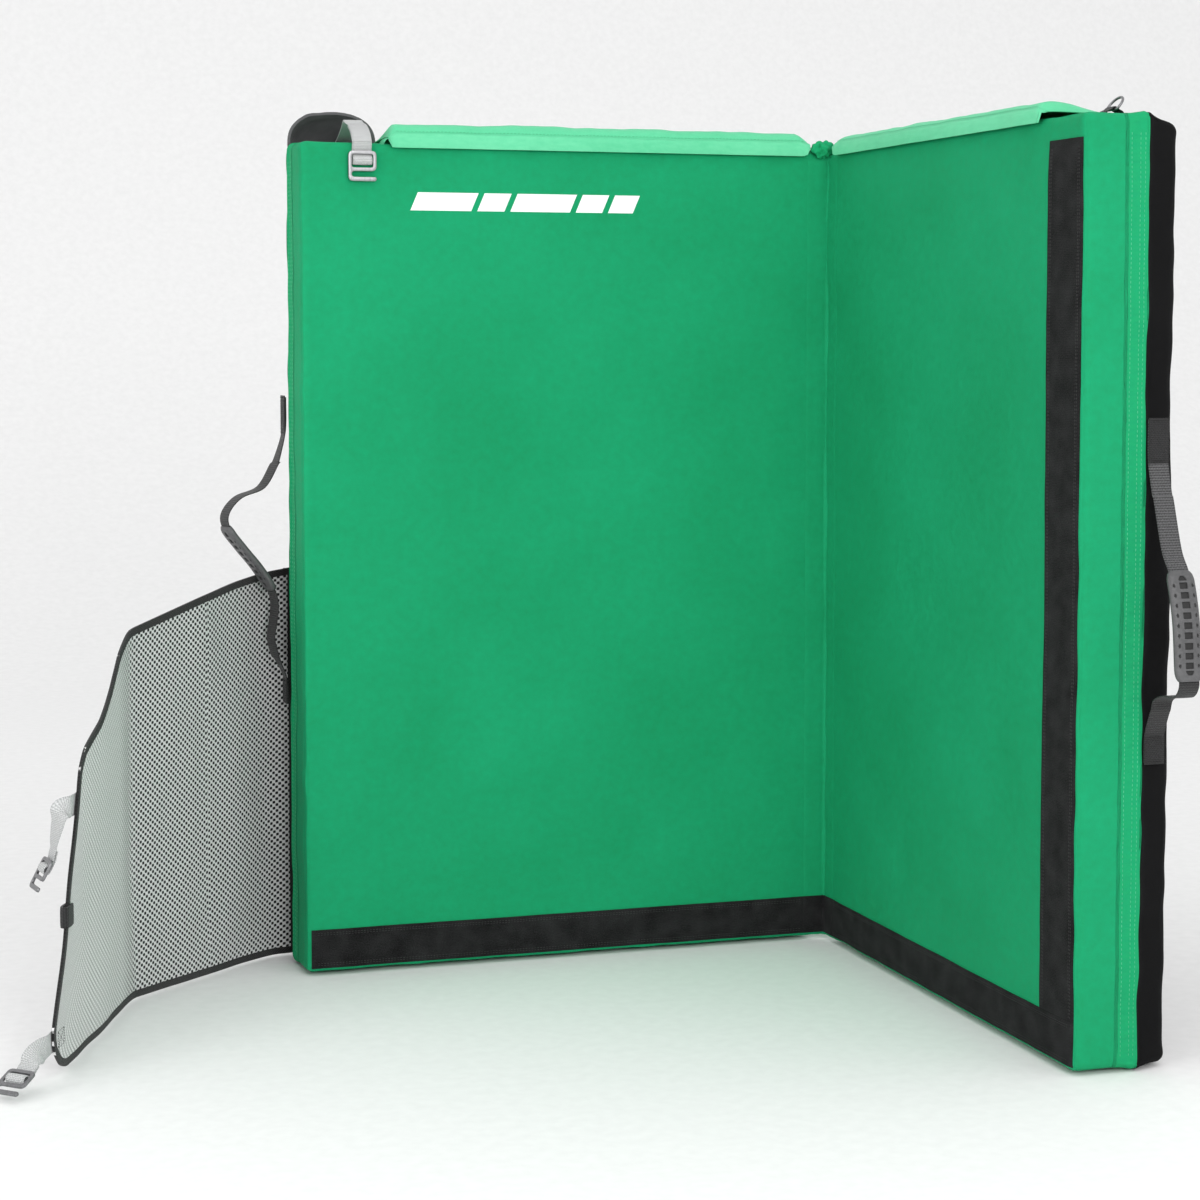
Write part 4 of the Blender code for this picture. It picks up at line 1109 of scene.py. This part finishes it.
def build_top_strap():
    """Webbing from the seam under the hood, over the top edge, to a hook buckle."""
    x = joint_place("top_buckle_swing").x
    curve = curve_through([(x, y, HEIGHT + z) for y, z in TOP_STRAP], 4)
    piece = add_band("top_strap_webbing", "left", curve, (1, 0, 0), LIGHT_WEBBING)
    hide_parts("top_strap_root", "top_strap")
    blend_between(piece)
    curve = curve_through([(x, y, HEIGHT + z) for y, z in TOP_RETURN], 4)
    piece = add_band("top_strap_return", "left", curve, (1, 0, 0), LIGHT_WEBBING)
    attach(piece, "top_strap")
    build_buckle("top_buckle", "left", (x, 0.0010, HEIGHT - 0.0140), (1, 0, 0), (0, 0, -1), (0, 1, 0))
    half = WEBBING_WIDTH / 2 - 0.003
    far, near = (0.0290, 0.0188), (0.0170, 0.0124)
    corners = [(x + s * half, y, HEIGHT + z + 0.0012)
               for s, (y, z) in ((-1, far), (1, far), (1, near), (-1, near))]
    box_and_cross("top_strap", GREY_THREAD, "left", corners, (0, -0.45, 0.9))


# ---------------------------------------------------------------- handles

HANDLES = {
    "left": {
        "turn": math.radians(14), "grip": (0.578, 0.488), "painted_shade_below": 1.0,
        "bow": ((0.0155, 0.652), (0.034, 0.624), (0.066, 0.612), (0.084, 0.592), (0.082, 0.572),
                (0.062, 0.546), (0.040, 0.520), (0.021, 0.491), (0.0160, 0.470), (0.0185, 0.448),
                (0.0215, 0.428), (0.0155, 0.404))},
    "right": {
        "turn": 0.0, "grip": (0.566, 0.447), "painted_shade_below": 0.450,
        "bow": ((0.0155, 0.640), (0.034, 0.587), (0.052, 0.560), (0.066, 0.514), (0.072, 0.462),
                (0.075, 0.443), (0.064, 0.430), (0.040, 0.428), (0.0210, 0.421), (0.0155, 0.409))}}
TOP_STUB = ((0.0012, 0.088), (0.0012, 0.055), (0.0036, 0.035), (0.0120, 0.006))
BOTTOM_STUB = ((0.0120, -0.006), (0.0036, -0.025), (0.0012, -0.040), (0.0012, -0.060))


def handle_path(side, shape):
    """Points and width directions of a handle's webbing, from its top patch to its bottom one."""
    pivot = joint_place(f"{side}_handle_swing", side)
    turn, bow = shape["turn"], shape["bow"]
    offset = pivot.x - REACH

    def turned(out, z):
        reach = out - offset
        return (pivot.x + reach * math.cos(turn), pivot.y - reach * math.sin(turn), z)

    points = [(REACH + out, pivot.y, bow[0][1] + up) for out, up in TOP_STUB]
    points += [turned(*p) for p in bow]
    points += [(REACH + out, pivot.y, bow[-1][1] + up) for out, up in BOTTOM_STUB]
    swing = [0.0] * 3 + [0.5] + [1.0] * len(bow) + [0.5] + [0.0] * 3
    across = [(math.sin(turn * s), math.cos(turn * s), 0) for s in swing]
    return curve_through(points, 6), curve_through(across, 6)


def grip_relief(u, v, half):
    """Depth of the grip's moulded marks: a ladder down the middle and a row of dots each side."""
    ladder, rung, row, dot_pitch = 0.0046, 0.0108, 0.0112, 0.0108
    inner = half - 0.012
    if abs(v) < inner:
        if abs(u) < ladder and abs((v + rung / 2) % rung - rung / 2) < rung * 0.30:
            return 0.0016
        v_dot = (v + dot_pitch / 2) % dot_pitch - dot_pitch / 2
        if ((abs(u) - row) / 0.0013) ** 2 + (v_dot / 0.0021) ** 2 < 1:
            return 0.0011
    elif (u / ladder) ** 2 + ((abs(v) - inner) / 0.0055) ** 2 < 1:
        return 0.0014
    return 0.0


def build_grip(side, path, across, span_z):
    """The moulded sleeve round a handle's webbing."""
    keep = [i for i, p in enumerate(path) if span_z[1] <= p[2] <= span_z[0]
            and p[0] > REACH + 0.018]
    turn = np.array(across[(min(keep) + max(keep)) // 2])
    axis, stops = resampled(path[min(keep):max(keep) + 1], 150)
    along = unit(np.gradient(axis, axis=0))
    out = unit(np.cross(along, turn))
    if out[:, 0].mean() < 0:
        out = -out
    half_w, half_t, half_l, end = 0.0165, 0.0046, stops[-1] / 2, 0.013
    face = np.linspace(-1, 1, 50)
    section = [(u, 1) for u in face] + [(u, -1) for u in face[::-1][1:-1]]
    verts, st = [], []
    for i, stop in enumerate(stops):
        v = stop - half_l
        close = min(1.0, max(0.0, (half_l - abs(v)) / end))
        wide = half_w * (0.66 + 0.34 * math.sqrt(1 - (1 - close) ** 2))
        thick = half_t * (0.74 + 0.26 * min(1.0, close * 2.5))
        for share, way in section:
            u = wide * share
            depth = grip_relief(u, v, half_l)
            w = way * (thick * (1 - abs(share) ** 5) ** 0.5 - depth)
            verts.append(axis[i] + turn * u + out[i] * w)
            st.append((u, stop, 1.0 if depth else 0.0))
    faces = tube_faces(len(stops), len(section))
    piece = make_piece(f"{side}_handle_sleeve", place(side, verts), faces, RUBBER, st)
    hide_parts(f"{side}_handle_grip")
    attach(piece, f"{side}_handle")


def build_handle(side):
    shape = HANDLES[side]
    body = f"{side}_panel"
    path, across = handle_path(side, shape)
    verts, faces, st = band(path, across, WEBBING_WIDTH, WEBBING)
    # Below this height the webbing gets the mask for painted shade; on the left handle that is the whole
    # strap.
    st[:, 2] = np.where(verts[:, 2] < shape["painted_shade_below"], 0.8, 0.0)
    piece = make_piece(f"{side}_handle_strap", place(side, verts), faces, DARK_WEBBING,
                       st)
    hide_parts(f"{side}_handle_webbing", f"{side}_handle_anchor_top",
                f"{side}_handle_anchor_bottom")
    y = joint_place(f"{side}_handle_swing", side).y
    blend_between(piece)
    build_grip(side, path, across, shape["grip"])
    top, bottom = shape["bow"][0][1], shape["bow"][-1][1]
    for low, high, mark in ((top + 0.040, top + 0.090, "top"), (bottom - 0.062, bottom - 0.030, "bottom")):
        patch = [(REACH + 0.0028, y, z) for z in np.linspace(low, high, 8)]
        layer = add_band(f"{side}_handle_patch_{mark}", side, patch, (0, 1, 0), BLACK_WEBBING)
        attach(layer, body)
        over = REACH + 0.0040
        corners = [(over, y + s * SEWN_HALF, z) for s, z in
                   ((-1, low + 0.006), (1, low + 0.006), (1, high - 0.006), (-1, high - 0.006))]
        box_and_cross(body, BLACK_THREAD, side, corners, OUTWARD[side])
        for z in (low + 0.0025, high - 0.0025):
            bar = place(side, [(over, y - SEWN_HALF, z), (over, y + SEWN_HALF, z)])
            stitch(body, BLACK_THREAD, np.linspace(*bar, 6), OUTWARD[side], 0.0012, 0.0011, 0.0006)


# ---------------------------------------------------------------- mesh gear flap

FLAP_FOOT, BINDING_WIDTH, BINDING_THICK, MESH_THICK = 0.004, 0.009, 0.0034, 0.0024
FLAP_ROOT = np.array((0.7005, 0.1345))
FLAP_KNEE = np.array((0.7420, 0.1220))
FLAP_CREASE = np.array((0.9347, -0.0421))
TIP_HEADING = math.radians(-111.7)
TIP_ALONG = np.array((-math.cos(TIP_HEADING), math.sin(TIP_HEADING)))
TIP_LENGTH = 0.3625
INNER_TOP = ((0.000, 0.515), (0.085, 0.502), (0.160, 0.489), (0.235, 0.473), (0.300, 0.459))
OUTER_TOP = ((0.000, 0.459), (0.053, 0.436), (0.093, 0.401), (0.150, 0.369), (0.215, 0.347),
             (0.238, 0.326), (0.252, 0.290), (0.282, 0.220), (0.320, 0.138), (0.356, 0.072),
             (TIP_LENGTH, 0.058))
OUTER_FOOT = ((0.000, 0.004), (0.312, 0.004), (0.336, 0.012), (0.357, 0.030), (TIP_LENGTH, 0.043))
SPLIT_RUN = 0.150
PAINTED_LIGHT_SHARE = 0.5


def flap_plan():
    """Plan of the flap from its seam to its tip, each point with its run and its normal."""
    middle = (FLAP_KNEE + FLAP_CREASE) / 2
    inner = curve_through([FLAP_ROOT, FLAP_KNEE, middle, FLAP_CREASE - (0.004, -0.0034)], 12)
    tip = [FLAP_CREASE + TIP_ALONG * u for u in np.linspace(0.003, TIP_LENGTH, 60)]
    return resampled(np.vstack([inner, tip]), 110)


def flap_grid(rows=70):
    """The flap's middle surface, and where the plan's crease is."""
    plan, run = flap_plan()
    crease = int(np.argmin(np.linalg.norm(plan - FLAP_CREASE, axis=1)))
    along = unit(np.gradient(plan, axis=0))
    normal = np.stack([-along[:, 1], along[:, 0]], axis=1)
    grid = np.zeros((len(plan), rows, 3))
    for i, (point, far) in enumerate(zip(plan, run)):
        if i <= crease:
            foot, head = FLAP_FOOT, np.interp(far, *zip(*INNER_TOP))
        else:
            reach = far - run[crease]
            foot = np.interp(reach, *zip(*OUTER_FOOT))
            head = np.interp(reach, *zip(*OUTER_TOP))
        hold = min(1.0, far / 0.05)
        for j, share in enumerate(np.linspace(0, 1, rows)):
            z = foot + (head - foot) * share
            belly = 0.0045 * ripple((far * 5.5, z * 4.0, 0), 1.0, 31)
            belly += 0.0020 * ripple((far * 16.0, z * 9.0, 0), 1.0, 33)
            spot = point + normal[i] * belly * hold
            grid[i, j] = (spot[0], spot[1], z)
    return grid, normal, run


def flap_blend(piece):
    blend_between(piece)


def build_flap():
    grid, normal, run = flap_grid()
    split = int(np.searchsorted(run, SPLIT_RUN))
    for name, part, outer in (("flap_mesh_near", grid[:split + 1], False),
                              ("flap_mesh_far", grid[split:], True)):
        verts, faces, st = cloth_sheet(part, MESH_THICK)
        st[:, 1] = verts[:, 2]
        # Past the crease the mesh gets the mask for painted light: paler yarn and fewer dark holes.
        st[:, 2] = np.clip((verts[:, 0] - FLAP_CREASE[0] + 0.01) / 0.03, 0, 1) * PAINTED_LIGHT_SHARE
        piece = make_piece(name, place("left", verts), faces, MESH_CLOTH, st)
        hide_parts("flap_mesh_outer" if outer else "flap_mesh_inner")
        flap_blend(piece)
    build_flap_bindings(grid, normal, split)
    for name, shape in FLAP_STRAPS.items():
        build_flap_strap(name, shape)
    build_keeper()
    build_flap_root()


def edge_band(name, line, facing, inward, nodes, outer):
    """Binding tape folded over an edge; inward tells which way the cloth lies."""
    line = np.asarray(line, float)
    along = unit(np.gradient(line, axis=0))
    across = unit(np.cross(facing, along))
    if (across * inward).sum() < 0:
        across = -across
    path = line + across * (BINDING_WIDTH / 2 - 0.0006)
    piece = add_band(name, "left", path, across, BINDING, BINDING_WIDTH,
                     BINDING_THICK + 0.0004)
    if nodes:
        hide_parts(*nodes)
    flap_blend(piece)
    row = path + across * (BINDING_WIDTH / 2 - 0.0015) - facing * (BINDING_THICK / 2 + 0.0002)
    stitch("flap_outer" if outer else "flap_inner", BLACK_THREAD, place("left", row[1:-1]),
           place("left", -facing[len(facing) // 2])[0] - place("left", (0, 0, 0))[0], 0.0040, 0.0028)


def build_flap_bindings(grid, normal, split):
    """Tape along the near mesh's head and foot, and round the far mesh's whole edge."""
    facing = np.column_stack([normal, np.zeros(len(normal))])
    head, foot = grid[:, -1], grid[:, 0]
    down, up = np.array((0, 0, -1.0)), np.array((0, 0, 1.0))
    edge_band("flap_head_binding", head[:split + 1], facing[:split + 1], down,
              ["flap_binding_head"], False)
    edge_band("flap_foot_binding", foot[:split + 1], facing[:split + 1], up,
              ["flap_binding_foot"], False)
    border = np.vstack([head[split:], foot[split:][::-1]])
    sides = np.vstack([facing[split:], facing[split:][::-1]])
    run = run_of(border)
    border, stops = resampled(border, 260)
    sides = unit(np.stack([np.interp(stops, run, column) for column in sides.T], axis=1))
    along = unit(np.gradient(border, axis=0))
    across = unit(np.cross(sides, along))
    if across[5, 2] > 0:
        across = -across
    path = border + across * (BINDING_WIDTH / 2 - 0.0006)
    for _ in range(3):
        path[1:-1] = (path[:-2] + path[1:-1] * 2 + path[2:]) / 4
    piece = add_band("flap_edge_binding", "left", path, across, BINDING,
                     BINDING_WIDTH, BINDING_THICK + 0.0004)
    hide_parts("flap_binding_outer")
    flap_blend(piece)


def build_flap_root():
    """The tape that sews the flap to the base cover."""
    path = [(FLAP_ROOT[0], FLAP_ROOT[1] - 0.0006, z) for z in np.linspace(FLAP_FOOT, 0.515, 40)]
    piece = add_band("flap_root_binding", "left", path, (1, 0, 0), BINDING, 0.016, 0.0022)
    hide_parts("flap_root_tape")
    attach(piece, "left_panel")


def tip_point(u, w, z):
    """Distance along the flap's tip, distance out of it and height, as a point."""
    side = np.array((-TIP_ALONG[1], TIP_ALONG[0]))
    spot = FLAP_CREASE + TIP_ALONG * u - side * w
    return np.array((spot[0], spot[1], z))


FLAP_STRAPS = {
    "flap_upper": {"height": 0.289, "heading": math.radians(-172), "lean": math.radians(-62),
                   "loop": ((0.012, 0.285), (0.0165, 0.268), (0.0205, 0.250)), "hook": (0.0260, 0.2330)},
    "flap_lower": {"height": 0.0435, "heading": math.radians(-135), "lean": math.radians(-26),
                   "loop": ((0.014, 0.0415), (0.026, 0.0360)), "hook": (0.0400, 0.0270)}}


def build_flap_strap(name, shape):
    """A strap sewn to the flap's outer face that leaves its free edge, with a hook buckle."""
    root = joint_place(f"{name}_strap_swing")
    heading, height = shape["heading"], shape["height"]
    out = np.array((-math.cos(heading), math.sin(heading), 0.0))
    level = np.array((-out[1], out[0], 0.0))
    edge = float(np.dot(np.array(root[:2]) - FLAP_CREASE, TIP_ALONG))
    skin = -(BINDING_THICK / 2 + 0.0014)
    start = np.array((root.x, root.y, 0.0))
    lean = shape["lean"]
    hook = start + out * shape["hook"][0] + np.array((0, 0, shape["hook"][1]))
    down = out * math.cos(lean) + np.array((0, 0, math.sin(lean)))
    points = [tip_point(edge - back, skin, height) for back in (0.052, 0.040, 0.026, 0.012)]
    points += [start + out * u + np.array((0, 0, v)) for u, v in ((0.0018, height), *shape["loop"])]
    points.append(hook + down * LOOP_START)
    turn = np.linspace(0, 1, len(points) - 4) ** 1.3
    across = [np.array((0, 0, 1.0))] * 4
    across += [unit(np.array((0, 0, 1.0)) * (1 - t) + level * t) for t in turn]
    path, across = curve_through(points, 6), curve_through(across, 6)
    piece = add_band(f"{name}_strap_webbing", "left", path, across, LIGHT_WEBBING)
    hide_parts(f"{name}_tab", f"{name}_strap")
    blend_between(piece)
    build_buckle(f"{name}_buckle", "left", hook, level, down, np.cross(level, down))
    away = place("left", tip_point(0, -1, 0))[0] - place("left", tip_point(0, 0, 0))[0]
    for sign in (-1, 1):
        over = skin - 0.0010 if sign < 0 else MESH_THICK / 2 + 0.0006
        corners = [tip_point(edge - back, over, height + s * SEWN_HALF)
                   for back, s in ((0.050, -1), (0.026, -1), (0.026, 1), (0.050, 1))]
        box_and_cross("flap_outer", BLACK_THREAD, "left", corners, away * -sign)


KEEPER_EDGE, KEEPER_HEIGHT, KEEPER_WIDTH = 0.3045, 0.172, 0.024
KEEPER_WRAP = ((-0.022, -0.0030), (-0.008, -0.0040), (0.0035, -0.0034), (0.0062, 0.0),
               (0.0035, 0.0034), (-0.006, 0.0040), (-0.018, 0.0030))


def build_keeper():
    """A black tab wrapped round the flap's free edge."""
    path = curve_through([tip_point(KEEPER_EDGE + u, w, KEEPER_HEIGHT) for u, w in KEEPER_WRAP], 4)
    piece = add_band("flap_keeper_wrap", "left", path, (0, 0, 1), BLACK_WEBBING,
                     KEEPER_WIDTH, 0.0034)
    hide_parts("flap_keeper")
    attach(piece, "flap_outer")


# ---------------------------------------------------------------- back of the pad

PAD_BOW = ((0.0180, 0.870), (0.040, 0.840), (0.066, 0.780), (0.078, 0.700), (0.072, 0.620),
           (0.058, 0.550))
SHOULDER_HEAD = ((0.0014, 0.932), (0.0014, 0.907), (0.0056, 0.890), (0.0130, 0.877), (0.0180, 0.870),
                 (0.0250, 0.860))
SHOULDER_TAIL = ((0.0560, 0.545), (0.0535, 0.530), (0.0480, 0.505), (0.0400, 0.450), (0.0280, 0.390),
                 (0.0180, 0.352), (0.0130, 0.346), (0.0056, 0.332), (0.0014, 0.315), (0.0014, 0.290))


def build_shoulder_pad(mark, x):
    """A quilted shoulder strap: its cushions are pushed out between rows of stitching."""
    path, stops = resampled(curve_through([(x, BACK + y, z) for y, z in PAD_BOW], 16), 84)
    section = [(math.cos(t) if abs(math.cos(t)) < 0.999 else math.copysign(1, math.cos(t)),
                math.sin(t)) for t in np.arange(28) * math.tau / 28]
    ends = np.minimum(1.0, np.minimum(stops, stops[-1] - stops) / 0.022)
    width = 0.062 * (0.60 + 0.40 * np.sqrt(1 - (1 - ends) ** 2))
    quilt = 0.064
    thick = 0.0062 + 0.0030 * np.abs(np.sin(np.pi * stops / quilt)) ** 0.5
    verts, faces, st = band(path, (1, 0, 0), width, thick, section)
    ring = len(section)
    rows = np.repeat(np.arange(len(stops)), ring)
    edge = np.tile([abs(u) > 0.93 for u, _ in section], len(stops))
    seam = np.isin(rows, np.flatnonzero(np.abs((stops + quilt / 2) % quilt - quilt / 2) < 0.003))
    verts = inflate(verts, faces, edge | seam, 5.0, 0.02, 0.0022)
    piece = make_piece(f"shoulder_cushion_{mark}", place("left", verts), faces, BLACK_CLOTH,
                       st)
    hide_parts(f"shoulder_pad_{mark}")
    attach(piece, f"shoulder_strap_{mark}")


def ladder_lock(mark, x):
    """A plastic buckle with two slots between a shoulder strap and its webbing."""
    half_w, half_h, bar = 0.0165, 0.0125, 0.004
    border = [(-half_w, -half_h), (half_w, -half_h), (half_w, half_h), (-half_w, half_h)]
    outlines = [rounded_outline(border, 0.003)]
    for low in (-half_h + bar, 0.0022):
        high = low + 0.0063
        outlines.append(rounded_outline([(-half_w + bar, low), (half_w - bar, low),
                                         (half_w - bar, high), (-half_w + bar, high)], 0.0012))
    flat, faces = plate(outlines, 0.0038, 0.0009)
    lean = math.radians(-14)
    up = np.array((0, -math.sin(lean), math.cos(lean)))
    out = np.array((0, math.cos(lean), math.sin(lean)))
    centre = np.array((x, BACK + 0.0525, 0.5255))
    verts = centre + flat[:, [0]] * np.array((1, 0, 0)) + flat[:, [1]] * up + flat[:, [2]] * out
    piece = make_piece(f"ladder_lock_frame_{mark}", place("left", verts), faces, PLASTIC)
    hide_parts(f"ladder_lock_{mark}")
    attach(piece, f"shoulder_strap_{mark}")


# Heights between which the shoulder straps' ends are sewn to the base.
SHOULDER_PATCHES = ((0.910, 0.930), (0.292, 0.312))


def build_harness():
    """Two shoulder straps, each with its pad, its buckle and its webbing's sewn ends."""
    for mark in "ab":
        x = joint_place(f"shoulder_swing_{mark}").x
        build_shoulder_pad(mark, x)
        ladder_lock(mark, x)
        for name, outline, nodes in (
                ("head", SHOULDER_HEAD, (f"shoulder_anchor_{mark}_top",)),
                ("tail", SHOULDER_TAIL, (f"shoulder_webbing_{mark}", f"shoulder_anchor_{mark}_bottom"))):
            path = curve_through([(x, BACK + y, z) for y, z in outline], 5)
            piece = add_band(f"shoulder_{name}_{mark}", "left", path, (1, 0, 0), BLACK_WEBBING)
            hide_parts(*nodes)
            blend_between(piece)
        for low, high in SHOULDER_PATCHES:
            corners = [(x + s * SEWN_HALF, BACK + 0.0026, z) for s, z in
                       ((-1, low), (1, low), (1, high), (-1, high))]
            box_and_cross("left_panel", GREY_THREAD, "left", corners, (0, 1, 0))


# A closure loop's route as distance from the fold and height over the base, and its sewn ends.
CLOSURE_LOOP = ((0.642, 0.0010), (0.612, 0.0012), (0.602, 0.0085), (0.580, 0.0095), (0.570, 0.0085),
                (0.560, 0.0012), (0.530, 0.0010))
LOOP_PATCHES = ((0.534, 0.554), (0.618, 0.638))


def build_closure_loops():
    """Webbing loops on the right panel's base for the gear flap's hooks."""
    for node in ("closure_loop_upper", "closure_loop_lower"):
        low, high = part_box(node)
        z = (low.z + high.z) / 2
        path = curve_through([(a, BACK + y, z) for a, y in CLOSURE_LOOP], 5)
        piece = add_band(f"{node}_webbing", "right", path, (0, 0, 1), BLACK_WEBBING)
        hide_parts(node)
        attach(piece, "right_panel")
        for near, far in LOOP_PATCHES:
            corners = [(a, BACK + 0.0022, z + s * SEWN_HALF) for a, s in
                       ((near, -1), (far, -1), (far, 1), (near, 1))]
            box_and_cross("right_panel", GREY_THREAD, "right", corners, (1, 0, 0))


# ---------------------------------------------------------------- studio

def floor_material():
    material, tree, shader, _, _ = start_material("pale_floor", 0.75, 0.0, 0.25)
    where = add_node(tree, "ShaderNodeTexCoord").outputs["Object"]
    grain = speckle(tree, where, 60.0, 4.0)
    colour = mix(tree, span(tree, grain, 0.3, 0.7, 0.0, 1.0), (0.82, 0.82, 0.82), (0.86, 0.86, 0.86))
    finish_material(tree, shader, colour, bump(tree, grain, 0.00005))
    return material


def build_stage():
    """A pale floor that curves up into a backdrop."""
    front, back, curve, top, half_wide = -14.0, 3.0, 2.5, 9.0, 14.0
    profile = [(front, 0.0), (-6.0, 0.0), (0.0, 0.0), (back, 0.0)]
    profile += [(back + curve * math.sin(t), curve - curve * math.cos(t))
                for t in np.linspace(0.08, math.pi / 2, 14)]
    profile.append((back + curve, top))
    verts = [(x, y, z) for y, z in profile for x in (-half_wide, half_wide)]
    faces = [(2 * i, 2 * i + 1, 2 * i + 3, 2 * i + 2) for i in range(len(profile) - 1)]
    floor = scratch_object("studio_floor", verts, faces)
    floor.data.shade_smooth()
    floor.data.materials.append(floor_material())


# Name, place, the point it faces, width and height in metres, and power in watts.
LIGHTS = (("front_softbox", (0.25, -3.9, 1.75), (-0.2, 0.3, 0.8), (1.3, 1.0), 58.0),
          ("left_softbox", (-3.4, -1.6, 1.6), (0.5, 0.0, 0.5), (2.0, 2.6), 36.0),
          ("overhead", (0.0, -1.2, 3.6), (0.1, 0.0, 0.5), (3.0, 3.0), 14.0))


def add_light(name, spot, target, size, power):
    light = bpy.data.lights.new(name, "AREA")
    light.shape = "RECTANGLE"
    light.size, light.size_y = size
    light.energy = power
    lamp = bpy.data.objects.new(name, light)
    lamp.location = spot
    lamp.rotation_euler = (Vector(target) - Vector(spot)).to_track_quat("-Z", "Y").to_euler()
    bpy.context.scene.collection.objects.link(lamp)


def build_studio():
    world = bpy.data.worlds.new("studio")
    world.use_nodes = True
    background = world.node_tree.nodes["Background"]
    background.inputs["Color"].default_value = (1.0, 1.0, 1.0, 1.0)
    background.inputs["Strength"].default_value = 1.0
    bpy.context.scene.world = world
    bpy.context.scene.view_settings.view_transform = "Standard"
    for light in LIGHTS:
        add_light(*light)


def set_camera():
    lens = bpy.data.cameras.new("view")
    lens.sensor_width = 36.0
    lens.lens = 79.87
    lens.shift_y = -0.07
    lens.clip_end = 60.0
    camera = bpy.data.objects.new("view", lens)
    camera.location = (-0.8813, -3.0173, 0.8253)
    camera.rotation_euler = (math.radians(86.021), 0.0, math.radians(-17.862))
    bpy.context.scene.collection.objects.link(camera)
    bpy.context.scene.camera = camera


for panel_side, panel_seed in (("left", 2.0), ("right", 9.0)):
    build_panel(panel_side, panel_seed)
build_landing_faces()
left_grid = build_link_flap("left", far=0.594, rise=0.0200, seed=41)
build_link_flap("right", far=0.611, rise=0.0140, seed=47)
build_frayed_end(left_grid)
build_hood()
build_fold_knot()
build_top_strap()
build_ring()
for handle_side in HANDLES:
    build_handle(handle_side)
build_flap()
build_harness()
build_closure_loops()
make_threads()
build_stage()
build_studio()
set_camera()
